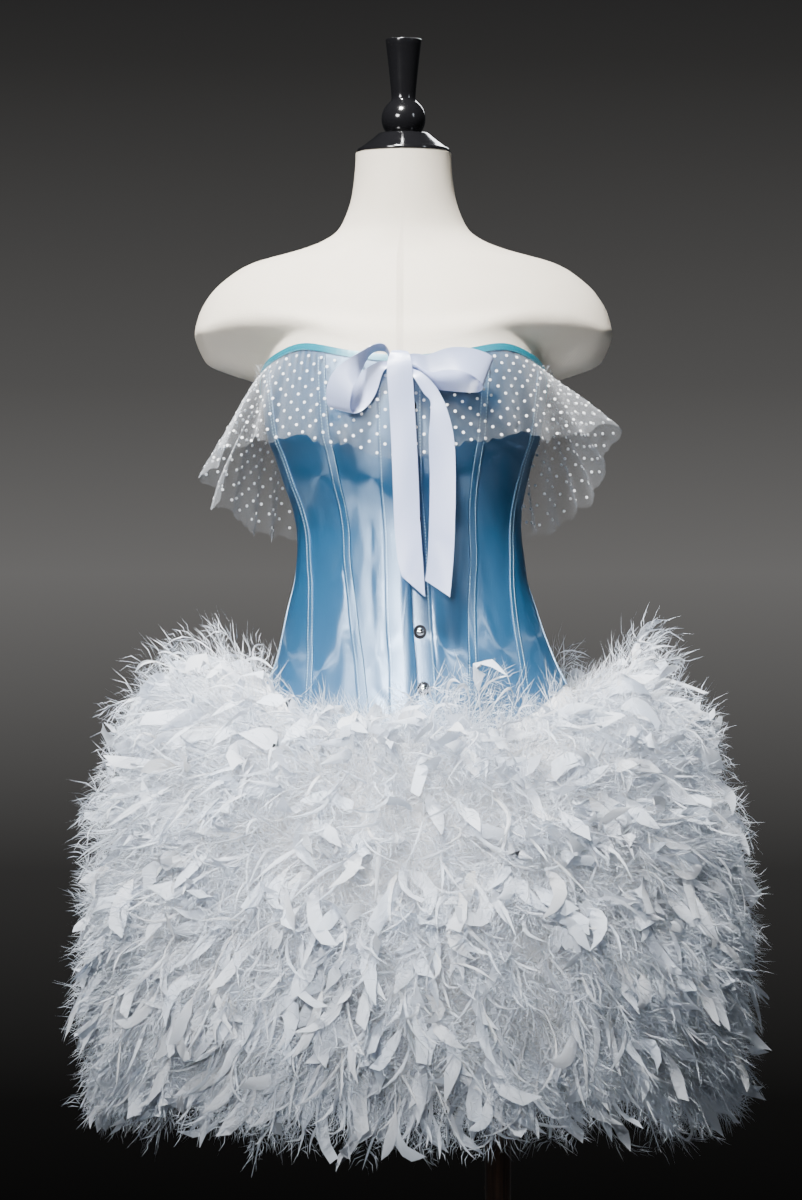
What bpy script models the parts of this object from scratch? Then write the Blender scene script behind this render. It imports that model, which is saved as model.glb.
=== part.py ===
"""Corset dress on a limbless dress form, at its real size.

Metres, +Z up, front towards -Y. The origin is the centre of the stand's underside.
An angle round the dress starts at centre front and grows towards the wearer's left (+X).
"""

import math
import random
from collections import namedtuple

import bmesh
import bpy
from mathutils import Vector

MM = 0.001

# Heights above the floor
NECK_TOP = 1.5152
FORM_BOTTOM = 0.860
KNOT_HEIGHT = 1.299
SKIRT_HEM = 0.600

# Cloth and clearances
SATIN = 1.8 * MM
TULLE = 1.0 * MM
RIBBON = 1.0 * MM
UNDERSKIRT_SEAM = 2.0 * MM
UNDERSKIRT = 3.0 * MM
BINDING = 0.9 * MM
BINDING_DROP = 5.5 * MM
SEAM_GAP = 0.3 * MM
HEM_GAP = 0.7 * MM
FORM_CLEARANCE = 3.9 * MM

# Bone channels and the busk
CHANNEL_WIDTH = 8.0 * MM
CHANNEL_RISE = 0.8 * MM
CHANNEL_RAMP = 1.2 * MM
CHANNEL_END = 12.0 * MM
BUSK_COVER_RIGHT = 22.0 * MM
BUSK_COVER_LEFT = 15.0 * MM
FASTENINGS = 6
FASTENING_SPACING = 55.2 * MM
LOWEST_FASTENING = 0.981
LOOP_LENGTH = 12.5 * MM
LOOP_WIDTH = 14.0 * MM
LOOP_THICKNESS = 1.2 * MM
STUD_HEAD = 4.0 * MM
STUD_NECK = 1.9 * MM
STUD_HOLE = 2.4 * MM
BUSK_SEAT = 0.7 * MM

# Gathered net
RUFFLE_WAVES = 30
POINTS_PER_WAVE = 4
RUFFLE_SEAM_DROP = 7.0 * MM
RUFFLE_SEAM_OUT = 1.6 * MM
HEADING_RISE = 8.0 * MM
HEADING_OUT = 6.0 * MM

# Feathers
SKIRT_COLUMNS = 44
SKIRT_SWAY = 0.013
ROW_MARGIN = 0.045
ROW_SEAT = 0.8 * MM
UNEVEN_REACH = 12.0 * MM

# Dress form and stand
POLE_X = 0.0945
POLE_RADIUS = 13.0 * MM
BASE_RADIUS = 0.200
BASE_THICKNESS = 6.0 * MM
BASE_BEVEL = 1.5 * MM
SOCKET_RADIUS = 30.0 * MM
SOCKET_HEIGHT = 22.0 * MM
FORM_CHEST = 0.142
ARM_PINCH = 2.0

CorsetSection = namedtuple("CorsetSection", "z half_width front_depth back_depth cup sway")
CORSET_SECTIONS = (
    CorsetSection(0.930, 0.1730, 0.1150, 0.1200, 0.000, 0.0150),
    CorsetSection(0.970, 0.1577, 0.1070, 0.1130, 0.000, 0.0138),
    CorsetSection(1.007, 0.1392, 0.1005, 0.1040, 0.000, 0.0123),
    CorsetSection(1.034, 0.1305, 0.0970, 0.0965, 0.000, 0.0100),
    CorsetSection(1.055, 0.1248, 0.0945, 0.0915, 0.000, 0.0087),
    CorsetSection(1.094, 0.1153, 0.0920, 0.0835, 0.000, 0.0072),
    CorsetSection(1.134, 0.1122, 0.0920, 0.0810, 0.000, 0.0058),
    CorsetSection(1.155, 0.1142, 0.0935, 0.0820, 0.001, 0.0043),
    CorsetSection(1.182, 0.1210, 0.0980, 0.0850, 0.003, 0.0020),
    CorsetSection(1.209, 0.1289, 0.1040, 0.0890, 0.006, 0.0010),
    CorsetSection(1.231, 0.1367, 0.1085, 0.0920, 0.008, 0.0003),
    CorsetSection(1.262, 0.1410, 0.1115, 0.0940, 0.009, 0.0000),
    CorsetSection(1.300, 0.1445, 0.1090, 0.0940, 0.006, 0.0000),
    CorsetSection(1.330, 0.1450, 0.1040, 0.0930, 0.003, 0.0000),
)
CUP_ANGLE = math.radians(38)
CUP_SPREAD = math.radians(24)

# The corset's two edges, by degrees from centre front, the same on both sides
EdgeLine = namedtuple("EdgeLine", "angle top hem")
EDGE_LINES = (
    EdgeLine(0, 1.3055, 0.932),
    EdgeLine(20, 1.3105, 0.938),
    EdgeLine(42, 1.3190, 0.956),
    EdgeLine(60, 1.3100, 0.974),
    EdgeLine(78, 1.2940, 0.984),
    EdgeLine(92, 1.2730, 0.985),
    EdgeLine(120, 1.2620, 0.974),
    EdgeLine(180, 1.2620, 0.955),
)

# Where the four seams of each side run, in degrees from centre front
SeamLine = namedtuple("SeamLine", "z first second third fourth")
SEAM_LINES = (
    SeamLine(0.930, 15.5, 37.0, 75.0, 126.0),
    SeamLine(0.970, 18.0, 41.0, 79.0, 128.0),
    SeamLine(1.007, 21.5, 46.5, 84.0, 130.0),
    SeamLine(1.055, 25.5, 51.5, 90.0, 133.0),
    SeamLine(1.116, 31.0, 60.0, 98.0, 138.0),
    SeamLine(1.231, 31.5, 66.0, 100.0, 140.0),
    SeamLine(1.330, 31.5, 66.0, 100.0, 140.0),
)
SEAMS = ("centre_front", "first", "second", "third", "fourth", "centre_back")
PANELS = ("front", "side_front", "side", "side_back", "back")
PANEL_LEVELS = (0.0, 0.10, 0.20, 0.30, 0.40, 0.50, 0.61, 0.72, 0.83, 0.93, 0.976, 1.0)

# The net ruffle round the top, by signed degrees from centre front
RuffleStation = namedtuple("RuffleStation", "angle drop flare wave")
RUFFLE_STATIONS = (
    RuffleStation(-180, 0.122, 0.030, 0.010),
    RuffleStation(-130, 0.125, 0.034, 0.011),
    RuffleStation(-105, 0.110, 0.044, 0.012),
    RuffleStation(-88, 0.092, 0.050, 0.011),
    RuffleStation(-74, 0.085, 0.048, 0.010),
    RuffleStation(-60, 0.080, 0.026, 0.008),
    RuffleStation(-45, 0.084, 0.014, 0.006),
    RuffleStation(-25, 0.086, 0.011, 0.003),
    RuffleStation(0, 0.092, 0.010, 0.0015),
    RuffleStation(25, 0.085, 0.011, 0.003),
    RuffleStation(45, 0.082, 0.014, 0.006),
    RuffleStation(60, 0.076, 0.030, 0.008),
    RuffleStation(74, 0.052, 0.060, 0.009),
    RuffleStation(88, 0.072, 0.058, 0.012),
    RuffleStation(105, 0.098, 0.048, 0.012),
    RuffleStation(130, 0.122, 0.036, 0.011),
    RuffleStation(180, 0.122, 0.030, 0.010),
)
RUFFLE_PIECES = (
    ("ruffle_front", -66, 66),
    ("ruffle_left", 66, 126),
    ("ruffle_back", 126, 234),
    ("ruffle_right", 234, 294),
)
RUFFLE_LEVELS = (0.0, 0.3, 0.64, 1.0)

# Ribbon stretches: both long edges, in millimetres from the knot's middle
RibbonStation = namedtuple("RibbonStation", "upper_x upper_y upper_z lower_x lower_y lower_z")
LOOP_RIGHT = (
    RibbonStation(-6.9, 1, 5, -6.9, 2, -1),
    RibbonStation(-14, -8, 17, -14, 3, 10),
    RibbonStation(-24, -18, 17, -27, -3, 8),
    RibbonStation(-38, -20, 9, -36, -8, -6),
    RibbonStation(-53, -17, 0, -41, -14, -17),
    RibbonStation(-64, -13, -10, -45, -17, -24),
    RibbonStation(-70, -9, -23, -47, -17, -32),
    RibbonStation(-71, -6, -34, -48, -14, -41),
    RibbonStation(-69, -3, -43, -46, -9, -49),
    RibbonStation(-62, 0, -43, -38, -4, -48),
    RibbonStation(-54, 1, -34, -29, -2, -40),
    RibbonStation(-47, 1, -24, -22, -2, -28),
    RibbonStation(-36, 0, -9, -17, -5, -12),
    RibbonStation(-21, -4, 0, -14, -6.5, -7),
    RibbonStation(-12, -4, 1, -10.5, -5, -5),
    RibbonStation(-6.9, -2, 1, -6.9, -2.5, -4),
)
LOOP_LEFT = (
    RibbonStation(6.9, -2, 5, 6.9, -1, -1),
    RibbonStation(11, -6, 8, 11, -5, -2),
    RibbonStation(18, -9, 8, 19, -8, -4),
    RibbonStation(28, -13, 7, 31, -14, -10),
    RibbonStation(46, -16, 13, 47, -18, -8),
    RibbonStation(62, -15, 14, 62, -19, -10),
    RibbonStation(78, -11, 11, 74, -16, -16),
    RibbonStation(90, -6, 5, 81, -11, -24),
    RibbonStation(88, -1, -1, 77, -5, -29),
    RibbonStation(76, 2, -4, 64, -1, -29),
    RibbonStation(60, 3, -4, 50, -1, -28),
    RibbonStation(40, 3, -3, 36, -2, -26),
    RibbonStation(24, 2, -3, 22, -2, -19),
    RibbonStation(12, 1.5, -3, 12, 0, -10),
    RibbonStation(6.9, 1.5, -1, 6.9, 1, -6),
)
TAIL_RIGHT = (
    RibbonStation(-6, 1, 11, 6, 1, 11),
    RibbonStation(-8, -5, 10, 8.5, -5, 10),
    RibbonStation(-11, -9, 3, 11, -9, 3.5),
    RibbonStation(-12, -11.5, -10, 12.5, -11, -9),
    RibbonStation(-10, -11, -40, 14.5, -10, -40),
    RibbonStation(-8, -10, -75, 16.5, -8.5, -75),
    RibbonStation(-6.5, -8, -115, 18.5, -7, -115),
    RibbonStation(-5, -7, -155, 20, -5, -155),
    RibbonStation(-2, -6, -190, 22.5, -4, -190),
    RibbonStation(2, -5, -208, 25, -3, -228),
)
TAIL_LEFT = (
    RibbonStation(6.9, -1, -4, 6.9, -2.5, -7),
    RibbonStation(12, -5, -6, 12, -7, -12),
    RibbonStation(22, -9, -11, 17, -11, -20),
    RibbonStation(33, -11, -21, 24, -11, -31),
    RibbonStation(42, -12, -36, 30, -10, -38),
    RibbonStation(48, -12, -52, 30, -11, -52),
    RibbonStation(53, -11, -75, 28.5, -11, -75),
    RibbonStation(54.5, -10, -110, 29.5, -9, -110),
    RibbonStation(54, -8, -150, 29, -8, -150),
    RibbonStation(52.5, -6, -190, 27.5, -6.5, -190),
    RibbonStation(49, -4, -228, 25, -5, -212),
)

# Bell of the underskirt and how far the feathers reach at each row's edge
SkirtLevel = namedtuple("SkirtLevel", "z half_width depth reach reach_z")
SKIRT_LEVELS = (
    SkirtLevel(0.905, 0.195, 0.163, 0.312, 0.930),
    SkirtLevel(0.855, 0.222, 0.192, 0.336, 0.846),
    SkirtLevel(0.800, 0.240, 0.214, 0.343, 0.764),
    SkirtLevel(0.745, 0.250, 0.226, 0.347, 0.694),
    SkirtLevel(0.690, 0.256, 0.233, 0.347, 0.626),
    SkirtLevel(0.640, 0.260, 0.237, 0.338, 0.564),
    SkirtLevel(SKIRT_HEM, 0.262, 0.239, 0.300, 0.512),
)
TOP_REACH = 0.246
TOP_REACH_RISE = 0.046
FEATHER_DEPTH_RATIO = 0.93

# Shoulders and neck of the dress form
FormSection = namedtuple("FormSection", "z half_width front_depth back_depth centre_y")
FORM_SECTIONS = (
    FormSection(1.262, 0.1990, 0.1040, 0.0900, 0.000),
    FormSection(1.312, 0.2075, 0.1000, 0.0920, 0.000),
    FormSection(1.331, 0.2091, 0.0960, 0.0900, 0.000),
    FormSection(1.351, 0.2053, 0.0890, 0.0850, 0.002),
    FormSection(1.373, 0.1937, 0.0810, 0.0780, 0.004),
    FormSection(1.391, 0.1751, 0.0730, 0.0710, 0.006),
    FormSection(1.405, 0.1521, 0.0660, 0.0660, 0.007),
    FormSection(1.418, 0.1047, 0.0600, 0.0610, 0.008),
    FormSection(1.428, 0.0790, 0.0565, 0.0585, 0.008),
    FormSection(1.441, 0.0630, 0.0530, 0.0560, 0.008),
    FormSection(1.476, 0.0509, 0.0500, 0.0510, 0.007),
    FormSection(NECK_TOP, 0.0478, 0.0478, 0.0478, 0.006),
)
FORM_LEVELS = (
    FORM_BOTTOM, 0.900, 0.945, 0.985, 1.020, 1.055, 1.090, 1.125, 1.160, 1.195, 1.225, 1.255,
    1.276, 1.286, 1.296, 1.306, 1.316, 1.328, 1.342, 1.356, 1.368, 1.380, 1.391, 1.400, 1.409,
    1.418, 1.428, 1.441, 1.458, 1.478, NECK_TOP,
)

# Degrees from centre front of the form's columns on one side, closest together at the arms
FORM_TURNS = (0, 14, 28, 42, 54, 65, 73, 80, 86, 93, 101, 112, 125, 139, 153, 167, 180)

ARM_PLATE_POINT = Vector((0.2065, 0.022, 1.311))
ARM_PLATE_NORMAL = Vector((0.70, -0.40, -0.59))

# Turned finial: height and radius
ProfilePoint = namedtuple("ProfilePoint", "z radius")
CAP_PROFILE = (
    ProfilePoint(1.5155, 0.0),
    ProfilePoint(1.5155, 0.0452),
    ProfilePoint(1.5165, 0.0462),
    ProfilePoint(1.5188, 0.0462),
    ProfilePoint(1.5200, 0.0450),
    ProfilePoint(1.5350, 0.0250),
    ProfilePoint(1.5350, 0.0),
)
BALL_HEIGHT = 1.5495
BALL_RADIUS = 22.0 * MM
BALL_STEPS = 8
HANDLE_FOOT = 1.5680
HANDLE_TOP = 1.6295
HANDLE_FOOT_RADIUS = 12.0 * MM
HANDLE_TOP_RADIUS = 18.0 * MM
HANDLE_EDGE = 1.0 * MM


def clear_scene():
    for item in list(bpy.data.objects):
        bpy.data.objects.remove(item)


def make_material(name, colour, roughness, metallic=0.0):
    material = bpy.data.materials.new(name)
    material.use_nodes = True
    shader = material.node_tree.nodes["Principled BSDF"]
    shader.inputs["Base Color"].default_value = (*colour, 1.0)
    shader.inputs["Roughness"].default_value = roughness
    shader.inputs["Metallic"].default_value = metallic
    material.diffuse_color = (*colour, 1.0)
    return material


def add_body(name, shape, material, sharp_angle=40.0):
    """Turn a finished bmesh into a named object with its faces pointing out."""
    bmesh.ops.recalc_face_normals(shape, faces=shape.faces)
    if shape.calc_volume(signed=True) < 0:
        bmesh.ops.reverse_faces(shape, faces=shape.faces)
    mesh = bpy.data.meshes.new(name)
    shape.to_mesh(mesh)
    shape.free()
    mesh.materials.append(material)
    mesh.shade_smooth()
    mesh.set_sharp_from_angle(angle=math.radians(sharp_angle))
    body = bpy.data.objects.new(name, mesh)
    bpy.context.scene.collection.objects.link(body)
    return body


def smooth_value(table, key, column, at):
    """Read one named column between a table's rows, with no overshoot."""
    places = [getattr(row, key) for row in table]
    values = [getattr(row, column) for row in table]
    if at <= places[0]:
        return values[0]
    if at >= places[-1]:
        return values[-1]
    after = next(i for i, place in enumerate(places) if place > at)
    before = after - 1

    def slope(i):
        if i == 0 or i == len(places) - 1:
            return 0.0
        rise_in = (values[i] - values[i - 1]) / (places[i] - places[i - 1])
        rise_out = (values[i + 1] - values[i]) / (places[i + 1] - places[i])
        if rise_in * rise_out <= 0.0:
            return 0.0
        return 2.0 * rise_in * rise_out / (rise_in + rise_out)

    span = places[after] - places[before]
    t = (at - places[before]) / span
    start = (1.0 + 2.0 * t) * (1.0 - t) ** 2 * values[before]
    start += t * (1.0 - t) ** 2 * span * slope(before)
    end = t * t * (3.0 - 2.0 * t) * values[after]
    end += t * t * (t - 1.0) * span * slope(after)
    return start + end


def smooth_step(t):
    t = min(max(t, 0.0), 1.0)
    return t * t * (3.0 - 2.0 * t)


def degrees_from_front(angle):
    """Unsigned degrees from centre front, for tables that serve both sides."""
    turned = math.degrees(angle) % 360.0
    return min(turned, 360.0 - turned)


def edge_height(angle, level):
    """Height on the corset: level 0 is its hem and level 1 its top edge."""
    place = degrees_from_front(angle)
    hem = smooth_value(EDGE_LINES, "angle", "hem", place)
    top = smooth_value(EDGE_LINES, "angle", "top", place)
    return hem + level * (top - hem)


def corset_point(angle, z, out=0.0):
    """Point on the corset's outer face, or moved out from it."""
    half_width = smooth_value(CORSET_SECTIONS, "z", "half_width", z)
    sway = smooth_value(CORSET_SECTIONS, "z", "sway", z)
    front = math.cos(angle) > 0.0
    depth = smooth_value(CORSET_SECTIONS, "z", "front_depth" if front else "back_depth", z)
    off_cup = (math.radians(degrees_from_front(angle)) - CUP_ANGLE) / CUP_SPREAD
    cup = smooth_value(CORSET_SECTIONS, "z", "cup", z) * math.exp(-off_cup * off_cup)
    x = sway + (half_width + cup * 0.2 + out) * math.sin(angle)
    y = -(depth + cup + out) * math.cos(angle)
    return Vector((x, y, z))


def wall_body(name, outer, inner, material, closed=False, sharp_angle=40.0):
    """Close the space between two grids of points, rows by columns, into one body."""
    shape = bmesh.new()
    faces = [[[shape.verts.new(point) for point in row] for row in grid] for grid in (outer, inner)]
    rows = len(outer)
    columns = len(outer[0])
    steps = columns if closed else columns - 1
    for row in range(rows - 1):
        for column in range(steps):
            following = (column + 1) % columns
            for grid in faces:
                start = grid[row][column]
                across = grid[row + 1][following]
                shape.faces.new((start, grid[row][following], across))
                shape.faces.new((start, across, grid[row + 1][column]))
    near, far = faces
    for row in (0, rows - 1):
        for column in range(steps):
            following = (column + 1) % columns
            rim = (near[row][column], near[row][following], far[row][following], far[row][column])
            shape.faces.new(rim)
    if not closed:
        for column in (0, columns - 1):
            for row in range(rows - 1):
                side = (near[row][column], near[row + 1][column])
                shape.faces.new(side + (far[row + 1][column], far[row][column]))
    return add_body(name, shape, material, sharp_angle)


def loop_body(name, rings, material, closed_ring=True, sharp_angle=40.0):
    """Join rings of points, each the same cross-section, round a closed or an open run."""
    shape = bmesh.new()
    grid = [[shape.verts.new(point) for point in ring] for ring in rings]
    count = len(rings)
    corners = len(rings[0])
    for place in range(count if closed_ring else count - 1):
        ahead = (place + 1) % count
        for corner in range(corners):
            beside = (corner + 1) % corners
            start = grid[place][beside]
            across = grid[ahead][corner]
            shape.faces.new((grid[place][corner], start, across))
            shape.faces.new((start, grid[ahead][beside], across))
    if not closed_ring:
        shape.faces.new(grid[0])
        shape.faces.new(grid[-1])
    return add_body(name, shape, material, sharp_angle)


def skin_rings(shape, rings):
    """Faces between stacked rings; a ring of one vertex is a pole."""
    for low, high in zip(rings, rings[1:]):
        segments = max(len(low), len(high))
        for step in range(segments):
            ahead = (step + 1) % segments
            if len(low) == 1:
                shape.faces.new((low[0], high[step], high[ahead]))
            elif len(high) == 1:
                shape.faces.new((low[step], high[0], low[ahead]))
            else:
                shape.faces.new((low[step], low[ahead], high[ahead], high[step]))


def turned_body(name, profile, segments, material, centre=(0.0, 0.0)):
    """Spin a profile that starts and ends on the axis."""
    shape = bmesh.new()
    rings = []
    for point in profile:
        ring = []
        for step in range(1 if point.radius == 0.0 else segments):
            turn = 2.0 * math.pi * step / segments
            x = centre[0] + point.radius * math.cos(turn)
            y = centre[1] + point.radius * math.sin(turn)
            ring.append(shape.verts.new((x, y, point.z)))
        rings.append(ring)
    skin_rings(shape, rings)
    return add_body(name, shape, material)


def seam_angle(seam, side, level):
    """Angle of a seam at a level of the corset, found by settling on its height."""
    if seam == "centre_front":
        return 0.0
    if seam == "centre_back":
        return side * math.pi
    angle = math.radians(60.0)
    for _ in range(8):
        z = edge_height(angle, level)
        angle = math.radians(smooth_value(SEAM_LINES, "z", seam, z))
    return side * angle


def panel_columns(panel, side, level):
    """Angle and raise of each column of one panel, at one level."""
    seam_in = seam_angle(SEAMS[panel], side, level)
    seam_out = seam_angle(SEAMS[panel + 1], side, level)
    z = edge_height(0.5 * (seam_in + seam_out), level)
    radius = smooth_value(CORSET_SECTIONS, "z", "half_width", z)
    radius = 0.5 * (radius + smooth_value(CORSET_SECTIONS, "z", "front_depth", z))
    width = CHANNEL_WIDTH
    if panel == 0:
        width = BUSK_COVER_LEFT if side > 0 else BUSK_COVER_RIGHT
    start = seam_in + side * 0.5 * SEAM_GAP / radius
    band = seam_in + side * width / radius
    flat = band + side * CHANNEL_RAMP / radius
    end = seam_out - side * 0.5 * SEAM_GAP / radius
    columns = [(start, 1.0), (band, 1.0), (flat, 0.0)]
    last = len(PANELS) - 1
    inner_end = end
    if panel == last:
        inner_end = seam_out - side * (CHANNEL_WIDTH + CHANNEL_RAMP) / radius
    between = 3
    for step in range(1, between + 1):
        columns.append((flat + (inner_end - flat) * step / (between + 1), 0.0))
    if panel == last:
        columns.append((inner_end, 0.0))
        columns.append((seam_out - side * CHANNEL_WIDTH / radius, 1.0))
        columns.append((end, 1.0))
    else:
        columns.append((end, 0.0))
    return columns


def channel_rise(angle, level, share):
    """How far a channel stands out; it runs out under the binding and at the hem."""
    z = edge_height(angle, level)
    below_top = edge_height(angle, 1.0) - z
    return CHANNEL_RISE * share if below_top > CHANNEL_END - 0.1 * MM else 0.0


def make_corset(satin):
    for side, hand in ((-1, "right"), (1, "left")):
        for panel, label in enumerate(PANELS):
            outer = []
            inner = []
            for level in PANEL_LEVELS:
                columns = panel_columns(panel, side, level)
                outer_row = []
                inner_row = []
                for angle, share in columns:
                    z = edge_height(angle, level)
                    outer_row.append(corset_point(angle, z, channel_rise(angle, level, share)))
                    inner_row.append(corset_point(angle, z, -SATIN))
                outer.append(outer_row)
                inner.append(inner_row)
            wall_body(f"{label}_panel_{hand}", outer, inner, satin)


def top_ring_angles():
    """Angles of every panel column on the top edge, once round from centre front."""
    angles = []
    for side in (1, -1):
        half = []
        for panel in range(len(PANELS)):
            columns = panel_columns(panel, side, 1.0)
            half.append(seam_angle(SEAMS[panel], side, 1.0))
            half.extend(angle for angle, _ in columns[1:-1])
        half.append(seam_angle("centre_back", side, 1.0))
        if side > 0:
            angles.extend(half)
        else:
            angles.extend(angle + 2.0 * math.pi for angle in reversed(half[1:-1]))
    return angles


def make_binding(satin):
    """Strip folded over the panels' top edge, a U in cross-section."""
    inside = -SATIN - SEAM_GAP
    outside = SEAM_GAP
    section = (
        (outside + BINDING, -BINDING_DROP),
        (outside + BINDING, SEAM_GAP + BINDING),
        (inside - BINDING, SEAM_GAP + BINDING),
        (inside - BINDING, -BINDING_DROP),
        (inside, -BINDING_DROP),
        (inside, SEAM_GAP),
        (outside, SEAM_GAP),
        (outside, -BINDING_DROP),
    )
    rings = []
    for angle in top_ring_angles():
        top = edge_height(angle, 1.0)
        ring = []
        for out, rise in section:
            ring.append(corset_point(angle, top + rise, out))
        rings.append(ring)
    loop_body("top_binding", rings, satin)


def busk_face(z):
    """Point on the covered edge of the front panels, on the straight run between two levels."""
    heights = [edge_height(0.0, level) for level in PANEL_LEVELS]
    above = next(i for i, height in enumerate(heights) if height > z)
    low = corset_point(0.0, heights[above - 1], CHANNEL_RISE)
    high = corset_point(0.0, heights[above], CHANNEL_RISE)
    return low.lerp(high, (z - low.z) / (high.z - low.z))


def busk_frame(z):
    """Point on the busk's covered edge, with the directions along it and away from it."""
    half = 0.5 * LOOP_WIDTH
    low = busk_face(z - half)
    high = busk_face(z + half)
    along = (high - low).normalized()
    away = Vector((1.0, 0.0, 0.0)).cross(along).normalized()
    across = along.cross(away)
    return 0.5 * (low + high), across, along, away


def busk_point(frame, across, along, away):
    origin, across_axis, along_axis, away_axis = frame
    return origin + across * across_axis + along * along_axis + away * away_axis


def make_loop(name, frame, material):
    """Flat rounded plate with a hole for the stud's neck."""
    steps = 12
    front = BUSK_SEAT + LOOP_THICKNESS
    middle = 0.5 * LOOP_LENGTH
    rings = []
    for step in range(steps):
        turn = 2.0 * math.pi * (step + 0.5) / steps
        edge_x = middle + middle * math.cos(turn)
        edge_z = 0.5 * LOOP_WIDTH * math.sin(turn)
        hole_x = middle + STUD_HOLE * math.cos(turn)
        hole_z = STUD_HOLE * math.sin(turn)
        rings.append((
            busk_point(frame, edge_x, edge_z, BUSK_SEAT),
            busk_point(frame, edge_x, edge_z, front),
            busk_point(frame, hole_x, hole_z, front),
            busk_point(frame, hole_x, hole_z, BUSK_SEAT),
        ))
    loop_body(name, rings, material)


def make_stud(name, frame, material):
    """Neck that passes through the loop, under a low dome."""
    head_foot = BUSK_SEAT + LOOP_THICKNESS + SEAM_GAP
    profile = (
        (BUSK_SEAT, 0.0),
        (BUSK_SEAT, STUD_NECK),
        (head_foot, STUD_NECK),
        (head_foot, STUD_HEAD),
        (head_foot + 0.8 * MM, STUD_HEAD),
        (head_foot + 2.0 * MM, 0.62 * STUD_HEAD),
        (head_foot + 2.4 * MM, 0.0),
    )
    segments = 10
    middle = 0.5 * LOOP_LENGTH
    shape = bmesh.new()
    rings = []
    for away, radius in profile:
        ring = []
        for step in range(1 if radius == 0.0 else segments):
            turn = 2.0 * math.pi * step / segments
            across = middle + radius * math.cos(turn)
            ring.append(shape.verts.new(busk_point(frame, across, radius * math.sin(turn), away)))
        rings.append(ring)
    skin_rings(shape, rings)
    add_body(name, shape, material)


def make_fastenings(dark_steel, bright_steel):
    for index in range(FASTENINGS):
        frame = busk_frame(LOWEST_FASTENING + index * FASTENING_SPACING)
        make_loop(f"busk_loop_{index + 1}", frame, dark_steel)
        make_stud(f"busk_stud_{index + 1}", frame, bright_steel)


def signed_degrees(angle):
    return (math.degrees(angle) + 180.0) % 360.0 - 180.0


def ruffle_point(angle, level):
    """Point on the net's inner face; below 0 the level is the heading that stands up."""
    place = signed_degrees(angle)
    drop = smooth_value(RUFFLE_STATIONS, "angle", "drop", place)
    flare = smooth_value(RUFFLE_STATIONS, "angle", "flare", place)
    wave = smooth_value(RUFFLE_STATIONS, "angle", "wave", place)
    seam_z = edge_height(angle, 1.0) - RUFFLE_SEAM_DROP
    if level < 0.0:
        return corset_point(angle, seam_z, HEADING_OUT) + Vector((0.0, 0.0, HEADING_RISE))
    turn = RUFFLE_WAVES * angle + 1.3 * math.sin(3.0 * angle + 0.6) + 0.9 * math.sin(7.0 * angle)
    size = wave * level * (0.75 + 0.35 * math.sin(5.0 * angle + 2.0))
    z = seam_z - drop * level + 0.5 * size * math.cos(turn)
    out = RUFFLE_SEAM_OUT + flare * level ** 0.8 + size * (1.0 + math.sin(turn))
    base = corset_point(angle, seam_z - 0.5 * drop * level, out)
    return Vector((base.x, base.y, z))


def offset_grid(grid, distance):
    """Move a grid of points along its own normals."""
    rows = len(grid)
    columns = len(grid[0])
    moved = []
    for row in range(rows):
        moved_row = []
        for column in range(columns):
            along = grid[row][min(column + 1, columns - 1)] - grid[row][max(column - 1, 0)]
            down = grid[min(row + 1, rows - 1)][column] - grid[max(row - 1, 0)][column]
            normal = along.cross(down).normalized()
            moved_row.append(grid[row][column] + normal * distance)
        moved.append(moved_row)
    return moved


def make_ruffle(net):
    for name, start, end in RUFFLE_PIECES:
        step = 2.0 * math.pi / (RUFFLE_WAVES * POINTS_PER_WAVE)
        first = math.radians(start)
        count = round(math.radians(end - start) / step)
        gap = 0.5 * SEAM_GAP / CORSET_SECTIONS[-1].half_width
        width = math.radians(end - start) / count
        angles = [first + width * i for i in range(-1, count + 2)]
        angles[1] += gap
        angles[-2] -= gap
        levels = (-1.0,) + RUFFLE_LEVELS
        inner = [[ruffle_point(angle, level) for angle in angles] for level in levels]
        outer = offset_grid(inner, -TULLE)
        inner = [row[1:-1] for row in inner]
        outer = [row[1:-1] for row in outer]
        wall_body(name, outer, inner, net, sharp_angle=60.0)


def knot_centre():
    front = corset_point(0.0, KNOT_HEIGHT, HEADING_OUT + TULLE + SEAM_GAP)
    return Vector((-4.0 * MM, front.y - 2.8 * MM, KNOT_HEIGHT))


def make_ribbon(name, stations, ribbon):
    """Wall of ribbon through the stations, each giving its two long edges."""
    centre = knot_centre()
    upper = []
    middle = []
    lower = []
    for station in stations:
        a = centre + MM * Vector((station.upper_x, station.upper_y, station.upper_z))
        b = centre + MM * Vector((station.lower_x, station.lower_y, station.lower_z))
        upper.append(a)
        middle.append(0.5 * (a + b))
        lower.append(b)
    grid = [upper, middle, lower]
    front = offset_grid(grid, -0.5 * RIBBON)
    back = offset_grid(grid, 0.5 * RIBBON)
    wall_body(name, front, back, ribbon, sharp_angle=60.0)


def make_knot(ribbon):
    """Pulled ribbon wrapped into a small pad, wider than tall and flat at the back."""
    centre = knot_centre()
    half_width = 6.5 * MM
    half_height = 10.0 * MM
    half_depth = 4.0 * MM
    rings = []
    for x_share, size in ((-1.0, 0.72), (-0.5, 0.96), (0.0, 1.0), (0.5, 0.96), (1.0, 0.72)):
        ring = []
        for step in range(10):
            turn = 2.0 * math.pi * step / 10
            offset = (half_width * x_share, half_depth * size * math.cos(turn))
            ring.append(centre + Vector((*offset, half_height * size * math.sin(turn))))
        rings.append(ring)
    loop_body("bow_knot", rings, ribbon, closed_ring=False)


def skirt_point(level, angle, out=0.0):
    """Point on the underskirt; level 0 is the seam with the corset's hem."""
    if level == 0:
        z = edge_height(angle, 0.0)
        point = corset_point(angle, z, out)
        return Vector((point.x, point.y, z - HEM_GAP))
    row = SKIRT_LEVELS[level - 1]
    x = SKIRT_SWAY + (row.half_width + out) * math.sin(angle)
    y = -(row.depth + out) * math.cos(angle)
    return Vector((x, y, row.z))


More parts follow.
